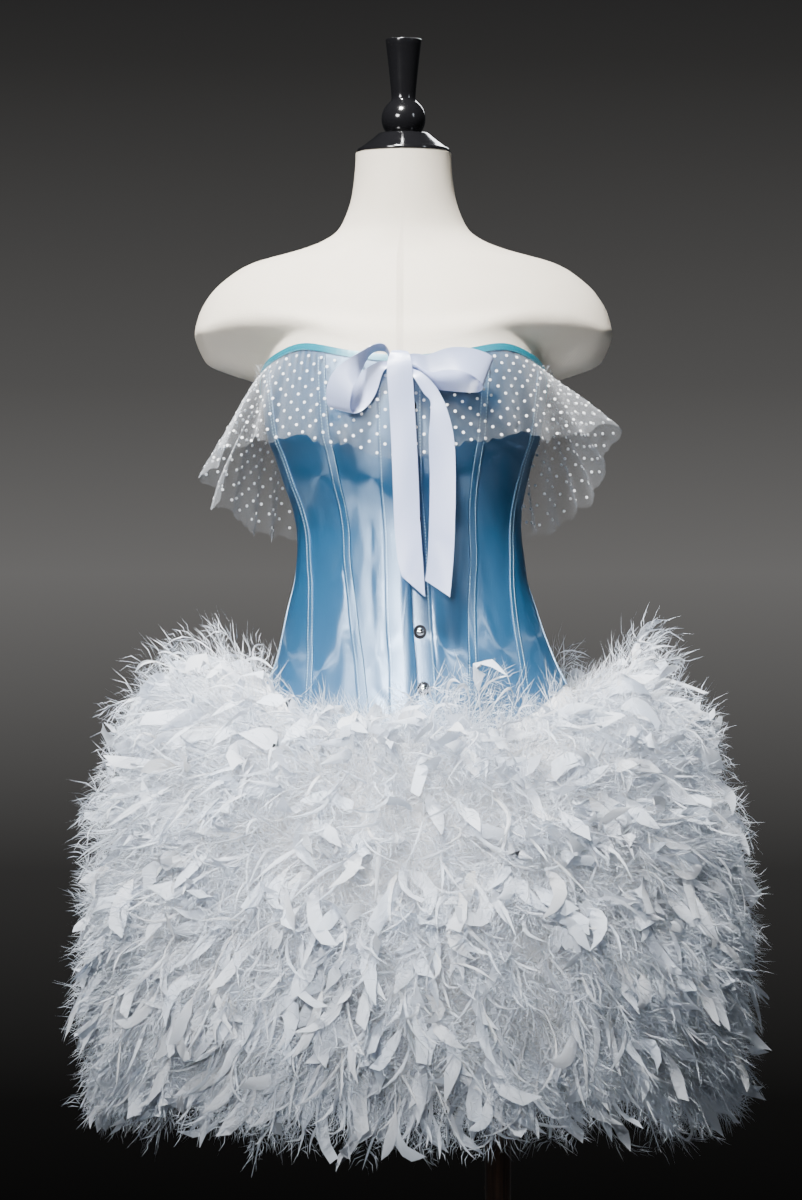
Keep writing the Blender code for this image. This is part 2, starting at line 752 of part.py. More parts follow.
def reach_point(level, angle):
    """Where the feathers end, on the uneven line between two rows."""
    drift = UNEVEN_REACH * math.sin(5.0 * angle + 1.9 * level)
    drift += 0.6 * UNEVEN_REACH * math.sin(8.0 * angle + 2.7 * level)
    point = even_reach_point(level, angle)
    point.z += drift
    return point


def even_reach_point(level, angle):
    if level == 0:
        x = SKIRT_SWAY + TOP_REACH * math.sin(angle)
        y = -TOP_REACH * FEATHER_DEPTH_RATIO * math.cos(angle)
        return Vector((x, y, edge_height(angle, 0.0) + TOP_REACH_RISE))
    row = SKIRT_LEVELS[level - 1]
    x = SKIRT_SWAY + row.reach * math.sin(angle)
    y = -row.reach * FEATHER_DEPTH_RATIO * math.cos(angle)
    return Vector((x, y, row.reach_z))


def skirt_angles():
    return [2.0 * math.pi * step / SKIRT_COLUMNS for step in range(SKIRT_COLUMNS)]


def make_underskirt(lining):
    """Bell of cloth, thin at its seam with the corset and fuller below, where its gathers open."""
    thickness = [UNDERSKIRT_SEAM] + [UNDERSKIRT] * len(SKIRT_LEVELS)
    outer = []
    inner = []
    for level, wall in enumerate(thickness):
        outer.append([skirt_point(level, angle) for angle in skirt_angles()])
        inner.append([skirt_point(level, angle, -wall) for angle in skirt_angles()])
    wall_body("underskirt", outer, inner, lining, closed=True)


def make_feather_rows(feather):
    """Rows of feather trim: each fills its own slice between two lines, with uneven tips."""
    chance = random.Random(17)
    for row in range(len(SKIRT_LEVELS)):
        rings = []
        for column, angle in enumerate(skirt_angles()):
            upper_in = skirt_point(row, angle, ROW_SEAT)
            lower_in = skirt_point(row + 1, angle, ROW_SEAT)
            upper_out = reach_point(row, angle)
            lower_out = reach_point(row + 1, angle)
            tip = (column + row) % 2 == 0
            reach = chance.uniform(0.92, 1.06) if tip else chance.uniform(0.66, 0.84)
            droop = chance.uniform(0.28, 0.80)
            shoulder = chance.uniform(0.52, 0.66) if tip else chance.uniform(0.38, 0.54)

            def place(along, across):
                inside = upper_in.lerp(lower_in, across)
                outside = upper_out.lerp(lower_out, across)
                return inside.lerp(outside, along)

            rings.append((
                place(0.0, ROW_MARGIN),
                place(shoulder, ROW_MARGIN + 0.02),
                place(reach, droop - 0.16),
                place(reach, droop + 0.16),
                place(shoulder, 0.98 - ROW_MARGIN),
                place(0.0, 1.0 - ROW_MARGIN),
            ))
        loop_body(f"feather_row_{row + 1}", rings, feather, sharp_angle=30.0)


def past_arm_plate(point, side):
    """Distance beyond the flat plate that ends the arm stump on one side."""
    on_plate = Vector((side * ARM_PLATE_POINT.x, ARM_PLATE_POINT.y, ARM_PLATE_POINT.z))
    facing = Vector((side * ARM_PLATE_NORMAL.x, ARM_PLATE_NORMAL.y, ARM_PLATE_NORMAL.z))
    return facing.dot(point - on_plate)


def form_point(angle, z):
    """Point on the dress form: inside the corset up to its top edge, then the shoulders."""
    inside = corset_point(angle, min(z, CORSET_SECTIONS[-1].z), -FORM_CLEARANCE)
    inside.z = z
    if z < FORM_SECTIONS[0].z:
        return inside
    half_width = smooth_value(FORM_SECTIONS, "z", "half_width", z)
    front = math.cos(angle) > 0.0
    depth = smooth_value(FORM_SECTIONS, "z", "front_depth" if front else "back_depth", z)
    centre_y = smooth_value(FORM_SECTIONS, "z", "centre_y", z)
    chest = min(half_width, FORM_CHEST)
    turn = math.sin(angle)
    x = chest * turn + (half_width - chest) * abs(turn) ** ARM_PINCH * math.copysign(1.0, turn)
    y = centre_y - depth * math.cos(angle)
    outside = Vector((x, y, z))
    clear_of_edge = edge_height(angle, 1.0) + 13.0 * MM
    share = smooth_step((z - clear_of_edge) / 0.026)
    side = 1.0 if math.sin(angle) > 0.0 else -1.0
    past_inside = past_arm_plate(inside, side)
    past_outside = past_arm_plate(outside, side)
    if past_outside > 0.0 > past_inside:
        share = min(share, past_inside / (past_inside - past_outside))
    elif past_inside >= 0.0:
        share = 0.0
    return inside.lerp(outside, share)


def make_form(linen):
    shape = bmesh.new()
    rings = []
    left = [math.radians(turn) for turn in FORM_TURNS]
    right = [2.0 * math.pi - turn for turn in reversed(left[1:-1])]
    turns = left + right
    for z in FORM_LEVELS:
        rings.append([shape.verts.new(form_point(turn, z)) for turn in turns])
    skin_rings(shape, rings)
    shape.faces.new(rings[0])
    shape.faces.new(rings[-1])
    add_body("form_torso", shape, linen)


def make_finial(lacquer):
    turned_body("neck_cap", CAP_PROFILE, 32, lacquer, centre=(0.0, 0.006))
    foot = CAP_PROFILE[-1].z + SEAM_GAP
    start = -math.asin((BALL_HEIGHT - foot) / BALL_RADIUS)
    end = math.asin((HANDLE_FOOT - BALL_HEIGHT) / BALL_RADIUS)
    profile = [ProfilePoint(foot, 0.0)]
    for step in range(BALL_STEPS + 1):
        turn = start + (end - start) * step / BALL_STEPS
        z = BALL_HEIGHT + BALL_RADIUS * math.sin(turn)
        profile.append(ProfilePoint(z, BALL_RADIUS * math.cos(turn)))
    profile.append(ProfilePoint(HANDLE_FOOT + 3.0 * MM, HANDLE_FOOT_RADIUS))
    profile.append(ProfilePoint(HANDLE_TOP - HANDLE_EDGE, HANDLE_TOP_RADIUS))
    profile.append(ProfilePoint(HANDLE_TOP, HANDLE_TOP_RADIUS - HANDLE_EDGE))
    profile.append(ProfilePoint(HANDLE_TOP, 0.0))
    turned_body("finial", profile, 24, lacquer, centre=(0.0, 0.006))


def make_stand(wood, steel):
    top = FORM_BOTTOM - SEAM_GAP
    base_profile = (
        ProfilePoint(0.0, 0.0),
        ProfilePoint(0.0, BASE_RADIUS),
        ProfilePoint(BASE_THICKNESS - BASE_BEVEL, BASE_RADIUS),
        ProfilePoint(BASE_THICKNESS, BASE_RADIUS - BASE_BEVEL),
        ProfilePoint(BASE_THICKNESS, 0.0),
    )
    turned_body("stand_base", base_profile, 48, steel)
    foot = BASE_THICKNESS + SEAM_GAP
    pole_profile = (
        ProfilePoint(foot, 0.0),
        ProfilePoint(foot, POLE_RADIUS),
        ProfilePoint(top, POLE_RADIUS),
        ProfilePoint(top, 0.0),
    )
    turned_body("stand_pole", pole_profile, 20, wood, centre=(POLE_X, 0.0))
    bore = POLE_RADIUS + SEAM_GAP
    rings = []
    for step in range(20):
        turn = 2.0 * math.pi * step / 20
        across = Vector((math.cos(turn), math.sin(turn), 0.0))
        centre = Vector((POLE_X, 0.0, 0.0))
        low = Vector((0.0, 0.0, top - SOCKET_HEIGHT))
        high = Vector((0.0, 0.0, top))
        rings.append((
            centre + bore * across + low,
            centre + SOCKET_RADIUS * across + low,
            centre + SOCKET_RADIUS * across + high,
            centre + bore * across + high,
        ))
    loop_body("pole_socket", rings, steel)


def main():
    clear_scene()
    satin = make_material("satin", (0.20, 0.50, 0.74), 0.35)
    binding = make_material("binding_satin", (0.03, 0.36, 0.45), 0.35)
    net = make_material("dotted_net", (0.85, 0.88, 0.90), 0.8)
    ribbon = make_material("ribbon", (0.80, 0.80, 0.90), 0.35)
    lining = make_material("underskirt_cloth", (0.88, 0.88, 0.90), 0.8)
    feather = make_material("feather", (0.92, 0.93, 0.96), 0.8)
    linen = make_material("form_linen", (0.78, 0.74, 0.67), 0.85)
    lacquer = make_material("black_lacquer", (0.01, 0.01, 0.012), 0.12)
    wood = make_material("stand_wood", (0.10, 0.055, 0.035), 0.35)
    dark_steel = make_material("dark_steel", (0.10, 0.10, 0.11), 0.35, 1.0)
    bright_steel = make_material("bright_steel", (0.80, 0.80, 0.82), 0.12, 1.0)

    make_form(linen)
    make_finial(lacquer)
    make_stand(wood, dark_steel)
    make_corset(satin)
    make_binding(binding)
    make_fastenings(dark_steel, bright_steel)
    make_ruffle(net)
    make_knot(ribbon)
    make_ribbon("bow_loop_right", LOOP_RIGHT, ribbon)
    make_ribbon("bow_loop_left", LOOP_LEFT, ribbon)
    make_ribbon("bow_tail_right", TAIL_RIGHT, ribbon)
    make_ribbon("bow_tail_left", TAIL_LEFT, ribbon)
    make_underskirt(lining)
    make_feather_rows(feather)


main()
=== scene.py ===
"""Corset dress with a gathered net ruffle, a ribbon bow and a feather skirt, on a limbless dress form.

Metres, +Z up, front towards -Y. An angle round the dress starts at centre front and grows
towards the wearer's left (+X).
"""

import math
from collections import namedtuple

import bpy
import numpy as np
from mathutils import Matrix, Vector


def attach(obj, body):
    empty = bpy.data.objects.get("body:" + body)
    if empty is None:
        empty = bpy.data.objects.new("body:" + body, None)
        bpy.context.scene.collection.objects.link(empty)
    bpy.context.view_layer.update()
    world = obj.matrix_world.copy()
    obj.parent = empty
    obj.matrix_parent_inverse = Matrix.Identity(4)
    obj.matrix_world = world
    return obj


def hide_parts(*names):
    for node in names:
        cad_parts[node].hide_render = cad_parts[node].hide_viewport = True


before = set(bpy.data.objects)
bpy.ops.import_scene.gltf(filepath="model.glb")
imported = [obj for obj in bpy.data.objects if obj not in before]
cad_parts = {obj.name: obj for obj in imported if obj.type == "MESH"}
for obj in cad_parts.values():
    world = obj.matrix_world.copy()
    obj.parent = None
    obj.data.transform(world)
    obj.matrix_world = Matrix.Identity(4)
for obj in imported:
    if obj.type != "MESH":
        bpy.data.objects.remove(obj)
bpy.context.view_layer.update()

# The view and its light: straight in front at the waist's height, through a long lens. A
# narrow softbox above the chest leads, so the shoulders stay bright while the skirt's hem
# falls into shade. The floor is plain and pale.
EYE = Vector((-0.0025, -4.3, 1.068))
LENS_MM = 129.0
camera_data = bpy.data.cameras.new("front_camera")
camera_data.lens = LENS_MM
camera = bpy.data.objects.new("front_camera", camera_data)
camera.location = EYE
camera.rotation_euler = (math.radians(90.0), 0.0, 0.0)
bpy.context.scene.collection.objects.link(camera)
bpy.context.scene.camera = camera

Softbox = namedtuple("Softbox", "name place aim width height power colour beam")
SOFTBOXES = (
    Softbox("key_softbox", (-0.45, -1.35, 3.35), (-0.05, -0.1, 1.33), 0.5, 0.5,
            8.4, (1.0, 0.985, 0.955), 24.5),
    Softbox("left_strip", (-1.75, -2.75, 2.25), (-0.04, 0.0, 1.33), 1.1, 0.8,
            2.6, (1.0, 1.0, 1.0), 21.0),
    Softbox("skirt_spot", (-0.40, -3.8, 1.80), (-0.06, -0.28, 0.93), 0.25, 0.25,
            1.2, (0.97, 0.985, 1.0), 12.0),
    Softbox("right_fill", (2.7, -1.9, 2.4), (0.0, 0.0, 1.30), 0.35, 1.0,
            0.22, (0.86, 0.93, 1.0), 26.0),
    Softbox("back_light", (0.5, 3.4, 2.9), (0.0, 0.0, 1.1), 1.4, 1.4,
            9.0, (0.95, 0.97, 1.0), 80.0),
)
for softbox in SOFTBOXES:
    lamp = bpy.data.lights.new(softbox.name, "AREA")
    lamp.shape = "RECTANGLE"
    lamp.size = softbox.width
    lamp.size_y = softbox.height
    lamp.energy = softbox.power
    lamp.color = softbox.colour
    lamp.spread = math.radians(softbox.beam)
    holder = bpy.data.objects.new(softbox.name, lamp)
    holder.location = softbox.place
    facing = Vector(softbox.aim) - Vector(softbox.place)
    holder.rotation_euler = facing.to_track_quat("-Z", "Y").to_euler()
    bpy.context.scene.collection.objects.link(holder)


def feed(tree, node, inputs):
    """Gives a node's inputs plain values, or links them to the sockets that feed them."""
    for slot, value in inputs.items():
        if isinstance(value, bpy.types.NodeSocket):
            tree.links.new(value, node.inputs[slot])
        else:
            node.inputs[slot].default_value = value


def shader_node(tree, kind, inputs=None, **settings):
    """Adds a node, with its settings and then its inputs."""
    node = tree.nodes.new(kind)
    for setting, value in settings.items():
        setattr(node, setting, value)
    feed(tree, node, inputs or {})
    return node


def maths(tree, operation, *values):
    """Result of a sum on values or sockets."""
    node = shader_node(tree, "ShaderNodeMath", dict(enumerate(values)), operation=operation)
    return node.outputs["Value"]


def colour_ramp(tree, share, stops):
    """Colour that runs through the stops, each a place and a colour, from low to high."""
    node = shader_node(tree, "ShaderNodeValToRGB", {"Fac": share})
    made = node.color_ramp.elements
    made[0].position = stops[0][0]
    made[1].position = stops[-1][0]
    for place, colour in stops[1:-1]:
        made.new(place)
    for stop, (place, colour) in zip(made, stops):
        stop.color = (*colour, 1.0)
    return node.outputs["Color"]


AMBIENT_COLOUR = (0.86, 0.92, 1.0, 1.0)
AMBIENT_STRENGTH = 0.020
BACKDROP_STRETCH = 3.2
# The backdrop seen straight behind is painted light: a grey ramp up the view, brightest about level
# with the eye and falling to near black above and below, stands in for a lit patch of backdrop.
BackdropBand = namedtuple("BackdropBand", "place grey")
BACKDROP_BANDS = (
    BackdropBand(0.13, 0.007),
    BackdropBand(0.30, 0.034),
    BackdropBand(0.52, 0.150),
    BackdropBand(0.66, 0.088),
    BackdropBand(0.90, 0.032),
)
backdrop_painted_light = [(0.0, (0.002, 0.002, 0.002))]
for band in BACKDROP_BANDS:
    backdrop_painted_light.append((band.place, (band.grey, band.grey * 0.975, band.grey * 0.95)))
backdrop_painted_light.append((1.0, (0.018, 0.018, 0.019)))

world = bpy.data.worlds.new("studio_air")
world.use_nodes = True
air = world.node_tree
ambient = air.nodes["Background"]
feed(air, ambient, {"Color": AMBIENT_COLOUR, "Strength": AMBIENT_STRENGTH})
direction = shader_node(air, "ShaderNodeTexCoord").outputs["Generated"]
view_height = shader_node(air, "ShaderNodeSeparateXYZ", {"Vector": direction}).outputs["Z"]
stretched_height = maths(air, "MULTIPLY_ADD", view_height, BACKDROP_STRETCH, 0.5)
behind = shader_node(
    air, "ShaderNodeBackground", {"Color": colour_ramp(air, stretched_height, backdrop_painted_light)}
)
chosen = shader_node(air, "ShaderNodeMixShader", {
    "Fac": shader_node(air, "ShaderNodeLightPath").outputs["Is Camera Ray"],
    1: ambient.outputs["Background"],
    2: behind.outputs["Background"],
})
feed(air, air.nodes["World Output"], {"Surface": chosen.outputs["Shader"]})
bpy.context.scene.world = world

SHARP_EDGE = math.radians(50.0)


def mesh_piece(name, points, face_groups, material, uv=None, closed=True):
    """Object from an array of points and arrays of faces, with its faces pointing out."""
    if closed:
        volume = 0.0
        for group in face_groups:
            first = points[group[:, 0]]
            for corner in range(1, group.shape[1] - 1):
                cross = np.cross(points[group[:, corner]], points[group[:, corner + 1]])
                volume += float(np.einsum("ij,ij->", first, cross))
        if volume < 0.0:
            face_groups = [group[:, ::-1] for group in face_groups]
    corners = np.concatenate([group.ravel() for group in face_groups]).astype(np.int32)
    sizes = np.concatenate([np.full(len(group), group.shape[1]) for group in face_groups])
    starts = np.concatenate([[0], np.cumsum(sizes)[:-1]]).astype(np.int32)
    mesh = bpy.data.meshes.new(name)
    mesh.vertices.add(len(points))
    mesh.vertices.foreach_set("co", points.astype(np.float32).ravel())
    mesh.loops.add(len(corners))
    mesh.loops.foreach_set("vertex_index", corners)
    mesh.polygons.add(len(sizes))
    mesh.polygons.foreach_set("loop_start", starts)
    mesh.update(calc_edges=True)
    if uv is not None:
        layer = mesh.uv_layers.new(name="cut")
        layer.uv.foreach_set("vector", uv[corners].astype(np.float32).ravel())
    mesh.materials.append(material)
    mesh.shade_smooth()
    mesh.set_sharp_from_angle(angle=SHARP_EDGE)
    piece = bpy.data.objects.new(name, mesh)
    bpy.context.scene.collection.objects.link(piece)
    return piece


def finish(material, inputs):
    """Gives the material's own shader its values, and the sockets that vary over the surface."""
    feed(material.node_tree, material.node_tree.nodes["Principled BSDF"], inputs)


def plain_surface(name, colour, roughness):
    """Material with one colour and one roughness, to be finished with whatever varies."""
    material = bpy.data.materials.new(name)
    material.use_nodes = True
    finish(material, {"Base Color": (*colour, 1.0), "Roughness": roughness})
    return material


def full_turn(steps):
    """Even angles once round, without the last one, which is the first again."""
    return np.linspace(0.0, 2.0 * math.pi, steps + 1)[:-1]


FLOOR_RADIUS = 3.2
FLOOR_SIDES = 96
FLOOR_DROP = 0.0004
floor_turns = full_turn(FLOOR_SIDES)
floor_x = FLOOR_RADIUS * np.sin(floor_turns)
floor_y = FLOOR_RADIUS * np.cos(floor_turns)
floor_rim = np.stack((floor_x, floor_y, 0.0 * floor_turns), axis=-1)
floor_points = np.vstack((np.zeros((1, 3)), floor_rim)) - (0.0, 0.0, FLOOR_DROP)
floor_step = np.arange(FLOOR_SIDES)
floor_ahead = (floor_step + 1) % FLOOR_SIDES
floor_faces = np.stack((0 * floor_step, floor_ahead + 1, floor_step + 1), axis=-1)
floor_finish = plain_surface("studio_floor", (0.62, 0.62, 0.62), 0.7)
floor = mesh_piece("studio_floor", floor_points, [floor_faces], floor_finish, closed=False)


# The dress form: a padded papier-mache bust without limbs, covered in fine cream linen that
# is pulled tight over the shoulders, with a flat covered plate where each arm would start.
# It fills the corset, so the corset's sections and edge lines stand here too.
CorsetSection = namedtuple("CorsetSection", "z half_width front_depth back_depth cup sway")
CORSET_SECTIONS = (
    CorsetSection(0.930, 0.1730, 0.1150, 0.1200, 0.000, 0.0150),
    CorsetSection(0.970, 0.1577, 0.1070, 0.1130, 0.000, 0.0138),
    CorsetSection(1.007, 0.1392, 0.1005, 0.1040, 0.000, 0.0123),
    CorsetSection(1.034, 0.1305, 0.0970, 0.0965, 0.000, 0.0100),
    CorsetSection(1.055, 0.1248, 0.0945, 0.0915, 0.000, 0.0087),
    CorsetSection(1.094, 0.1153, 0.0920, 0.0835, 0.000, 0.0072),
    CorsetSection(1.134, 0.1122, 0.0920, 0.0810, 0.000, 0.0058),
    CorsetSection(1.155, 0.1142, 0.0935, 0.0820, 0.001, 0.0043),
    CorsetSection(1.182, 0.1210, 0.0980, 0.0850, 0.003, 0.0020),
    CorsetSection(1.209, 0.1289, 0.1040, 0.0890, 0.006, 0.0010),
    CorsetSection(1.231, 0.1367, 0.1085, 0.0920, 0.008, 0.0003),
    CorsetSection(1.262, 0.1410, 0.1115, 0.0940, 0.009, 0.0000),
    CorsetSection(1.300, 0.1445, 0.1090, 0.0940, 0.006, 0.0000),
    CorsetSection(1.330, 0.1450, 0.1040, 0.0930, 0.003, 0.0000),
)
CUP_ANGLE = math.radians(38)
CUP_SPREAD = math.radians(24)
EdgeLine = namedtuple("EdgeLine", "angle top hem")
EDGE_LINES = (
    EdgeLine(0, 1.3055, 0.932),
    EdgeLine(20, 1.3105, 0.938),
    EdgeLine(42, 1.3190, 0.956),
    EdgeLine(60, 1.3100, 0.974),
    EdgeLine(78, 1.2940, 0.984),
    EdgeLine(92, 1.2730, 0.985),
    EdgeLine(120, 1.2620, 0.974),
    EdgeLine(180, 1.2620, 0.955),
)
NECK_TOP = 1.5152
FORM_BOTTOM = 0.860
FormSection = namedtuple("FormSection", "z half_width front_depth back_depth centre_y")
FORM_SECTIONS = (
    FormSection(1.262, 0.1990, 0.1040, 0.0900, 0.000),
    FormSection(1.312, 0.2075, 0.1000, 0.0920, 0.000),
    FormSection(1.331, 0.2091, 0.0960, 0.0900, 0.000),
    FormSection(1.351, 0.2053, 0.0890, 0.0850, 0.002),
    FormSection(1.373, 0.1937, 0.0810, 0.0780, 0.004),
    FormSection(1.391, 0.1751, 0.0730, 0.0710, 0.006),
    FormSection(1.405, 0.1521, 0.0660, 0.0660, 0.007),
    FormSection(1.418, 0.1047, 0.0600, 0.0610, 0.008),
    FormSection(1.428, 0.0790, 0.0565, 0.0585, 0.008),
    FormSection(1.441, 0.0630, 0.0530, 0.0560, 0.008),
    FormSection(1.476, 0.0509, 0.0500, 0.0510, 0.007),
    FormSection(NECK_TOP, 0.0478, 0.0478, 0.0478, 0.006),
)
FORM_CHEST = 0.142
FORM_CLEARANCE = 0.0039
SHOULDER_START = 0.013
SHOULDER_BLEND = 0.026
ARM_PINCH = 2.0
ARM_PLATE_POINT = (0.2065, 0.022, 1.311)
ARM_PLATE_NORMAL = (0.70, -0.40, -0.59)


def reader(table, key, column):
    """Reads one named column of a table at any places, smoothly and with no overshoot."""
    places = np.array([getattr(row, key) for row in table], float)
    values = np.array([getattr(row, column) for row in table], float)
    rises = np.diff(values) / np.diff(places)
    product = rises[:-1] * rises[1:]
    slopes = np.zeros(len(places))
    np.divide(2.0 * product, rises[:-1] + rises[1:], out=slopes[1:-1], where=product > 0.0)

    def read(at):
        at = np.clip(at, places[0], places[-1])
        after = np.clip(np.searchsorted(places, at, side="right"), 1, len(places) - 1)
        before = after - 1
        span = places[after] - places[before]
        t = (at - places[before]) / span
        start = (1.0 + 2.0 * t) * (1.0 - t) ** 2 * values[before]
        start = start + t * (1.0 - t) ** 2 * span * slopes[before]
        end = t * t * (3.0 - 2.0 * t) * values[after]
        return start + end + t * t * (t - 1.0) * span * slopes[after]

    return read


corset_half_width = reader(CORSET_SECTIONS, "z", "half_width")
corset_front = reader(CORSET_SECTIONS, "z", "front_depth")
corset_back = reader(CORSET_SECTIONS, "z", "back_depth")
corset_cup = reader(CORSET_SECTIONS, "z", "cup")
corset_sway = reader(CORSET_SECTIONS, "z", "sway")
top_line = reader(EDGE_LINES, "angle", "top")
hem_line = reader(EDGE_LINES, "angle", "hem")


def degrees_from_front(angle):
    turned = np.degrees(angle) % 360.0
    return np.minimum(turned, 360.0 - turned)


def edge_height(angle, level):
    """Height on the corset: level 0 is its hem and level 1 its top edge."""
    place = degrees_from_front(angle)
    return hem_line(place) + level * (top_line(place) - hem_line(place))


def corset_point(angle, z, out=0.0):
    """Points on the corset's outer face, or moved out from it."""
    angle, z, out = np.broadcast_arrays(angle, z, out)
    depth = np.where(np.cos(angle) > 0.0, corset_front(z), corset_back(z))
    off_cup = (np.radians(degrees_from_front(angle)) - CUP_ANGLE) / CUP_SPREAD
    bulge = corset_cup(z) * np.exp(-off_cup * off_cup)
    x = corset_sway(z) + (corset_half_width(z) + bulge * 0.2 + out) * np.sin(angle)
    y = -(depth + bulge + out) * np.cos(angle)
    return np.stack((x, y, z), axis=-1)


def smooth_step(t):
    t = np.clip(t, 0.0, 1.0)
    return t * t * (3.0 - 2.0 * t)


form_half_width = reader(FORM_SECTIONS, "z", "half_width")
form_front = reader(FORM_SECTIONS, "z", "front_depth")
form_back = reader(FORM_SECTIONS, "z", "back_depth")
form_centre_y = reader(FORM_SECTIONS, "z", "centre_y")


def form_point(angle, z):
    """Points on the form: inside the corset up to its top edge, then neck and shoulders."""
    inside = corset_point(angle, np.minimum(z, CORSET_SECTIONS[-1].z), -FORM_CLEARANCE)
    inside[..., 2] = z
    half_width = form_half_width(z)
    depth = np.where(np.cos(angle) > 0.0, form_front(z), form_back(z))
    chest = np.minimum(half_width, FORM_CHEST)
    turn = np.sin(angle)
    x = chest * turn + (half_width - chest) * np.abs(turn) ** ARM_PINCH * np.sign(turn)
    y = form_centre_y(z) - depth * np.cos(angle)
    outside = np.stack((x, y, z), axis=-1)
    share = smooth_step((z - edge_height(angle, 1.0) - SHOULDER_START) / SHOULDER_BLEND)
    share = np.where(z < FORM_SECTIONS[0].z, 0.0, share)
    side = np.where(turn > 0.0, 1.0, -1.0)
    past = []
    for point in (inside, outside):
        past_x = ARM_PLATE_NORMAL[0] * (side * point[..., 0] - ARM_PLATE_POINT[0])
        past_y = ARM_PLATE_NORMAL[1] * (point[..., 1] - ARM_PLATE_POINT[1])
        past.append(past_x + past_y + ARM_PLATE_NORMAL[2] * (point[..., 2] - ARM_PLATE_POINT[2]))
    reach = past[0] / np.minimum(past[0] - past[1], -1e-9)
    share = np.where((past[1] > 0.0) & (past[0] < 0.0), np.minimum(share, reach), share)
    share = np.where(past[0] >= 0.0, 0.0, share)
    return inside + share[..., None] * (outside - inside)


def grid_faces(rows, columns, closed=False, first=0):
    """Four-cornered faces of a grid of points, stored row after row."""
    row = np.arange(rows - 1)[:, None]
    column = np.arange(columns if closed else columns - 1)[None, :]
    ahead = (column + 1) % columns
    low = first + row * columns
    high = low + columns
    corners = np.stack((low + column, low + ahead, high + ahead, high + column), axis=-1)
    return corners.reshape(-1, 4)


def capped_faces(count, around):
    """Faces of stacked closed rings, with a fan at each end round one of two last points."""
    step = np.arange(around)
    ahead = (step + 1) % around
    last = (count - 1) * around
    low = np.stack((ahead, step, np.full(around, count * around)), axis=-1)
    high = np.stack((last + step, last + ahead, np.full(around, count * around + 1)), axis=-1)
    return [grid_faces(count, around, closed=True), low, high]


def capped_rings(rings):
    """Points and faces of stacked closed rings, with a fan over each end."""
    ends = np.stack((rings[0].mean(axis=0), rings[-1].mean(axis=0)))
    return np.vstack((rings.reshape(-1, 3), ends)), capped_faces(*rings.shape[:2])


def spaced_levels(knots, each):
    """Evenly filled positions between whole levels."""
    return np.linspace(0.0, knots, knots * each + 1)


def node_group(name, inputs, outputs):
    """New node group, with the sockets that its inputs give and its outputs take."""
    group = bpy.data.node_groups.new(name, "ShaderNodeTree")
    for label, kind in inputs:
        group.interface.new_socket(label, in_out="INPUT", socket_type=kind)
    for label in outputs:
        group.interface.new_socket(label, in_out="OUTPUT", socket_type="NodeSocketFloat")
    given = group.nodes.new("NodeGroupInput").outputs
    result = group.nodes.new("NodeGroupOutput").inputs
    return group, given, result


def noise(tree, place, scale, detail):
    """Soft uneven value over a place."""
    settings = {"Vector": place, "Scale": scale, "Detail": detail}
    return shader_node(tree, "ShaderNodeTexNoise", settings).outputs["Fac"]


def bumped(tree, height, strength, distance):
    """Surface direction that a fine relief gives."""
    settings = {"Height": height, "Strength": strength, "Distance": distance}
    return shader_node(tree, "ShaderNodeBump", settings).outputs["Normal"]


def two_shades(tree, share, dark, light):
    """Colour between two close shades."""
    shades = {"Factor": share, "A": (*dark, 1.0), "B": (*light, 1.0)}
    return shader_node(tree, "ShaderNodeMix", shades, data_type="RGBA").outputs["Result"]


def cut_place(tree):
    """Place on a piece's flat cut, in metres."""
    return shader_node(tree, "ShaderNodeUVMap", uv_map="cut").outputs["UV"]


def own_place(tree):
    """Place in a piece's own space, in metres."""
    return shader_node(tree, "ShaderNodeTexCoord").outputs["Object"]


def cloth_weave_group():
    """Plain weave: crossing threads with uneven thickness, from a place on the cut in metres."""
    group, given, result = node_group(
        "cloth_weave",
        inputs=(
            ("Place", "NodeSocketVector"),
            ("Threads", "NodeSocketFloat"),
            ("Unevenness", "NodeSocketFloat"),
        ),
        outputs=("Height", "Mottle"),
    )
    parts = shader_node(group, "ShaderNodeSeparateXYZ", {"Vector": given["Place"]})
    waves = []
    for axis in ("X", "Y"):
        count = maths(group, "MULTIPLY", parts.outputs[axis], given["Threads"])
        waves.append(maths(group, "SINE", maths(group, "MULTIPLY", count, 2.0 * math.pi)))
    crossing = maths(group, "MULTIPLY", *waves)
    slubs = noise(group, given["Place"], 420.0, 4.0)
    uneven = maths(group, "MULTIPLY", slubs, given["Unevenness"])
    height = maths(group, "MULTIPLY_ADD", crossing, 0.35, uneven)
    group.links.new(height, result["Height"])
    group.links.new(noise(group, given["Place"], 16.0, 3.0), result["Mottle"])
    return group


CLOTH_WEAVE = cloth_weave_group()


def woven_surface(name, light, dark, roughness, threads, relief, sheen=0.15, has_cut=True):
    """Matt woven cloth: two close shades in soft patches, with the threads as relief.

    Its weave lies along the flat cut, or in plain space on small pieces that have no cut.
    """
    material = plain_surface(name, light, roughness)
    tree = material.node_tree
    place = cut_place(tree) if has_cut else own_place(tree)
    weave = shader_node(
        tree, "ShaderNodeGroup", {"Place": place, "Threads": threads, "Unevenness": 1.0},
        node_tree=CLOTH_WEAVE,
    )
    finish(material, {
        "Base Color": two_shades(tree, weave.outputs["Mottle"], dark, light),
        "Normal": bumped(tree, weave.outputs["Height"], 0.6, relief),
        "Sheen Weight": sheen,
        "Specular IOR Level": 0.25,
    })
    return material


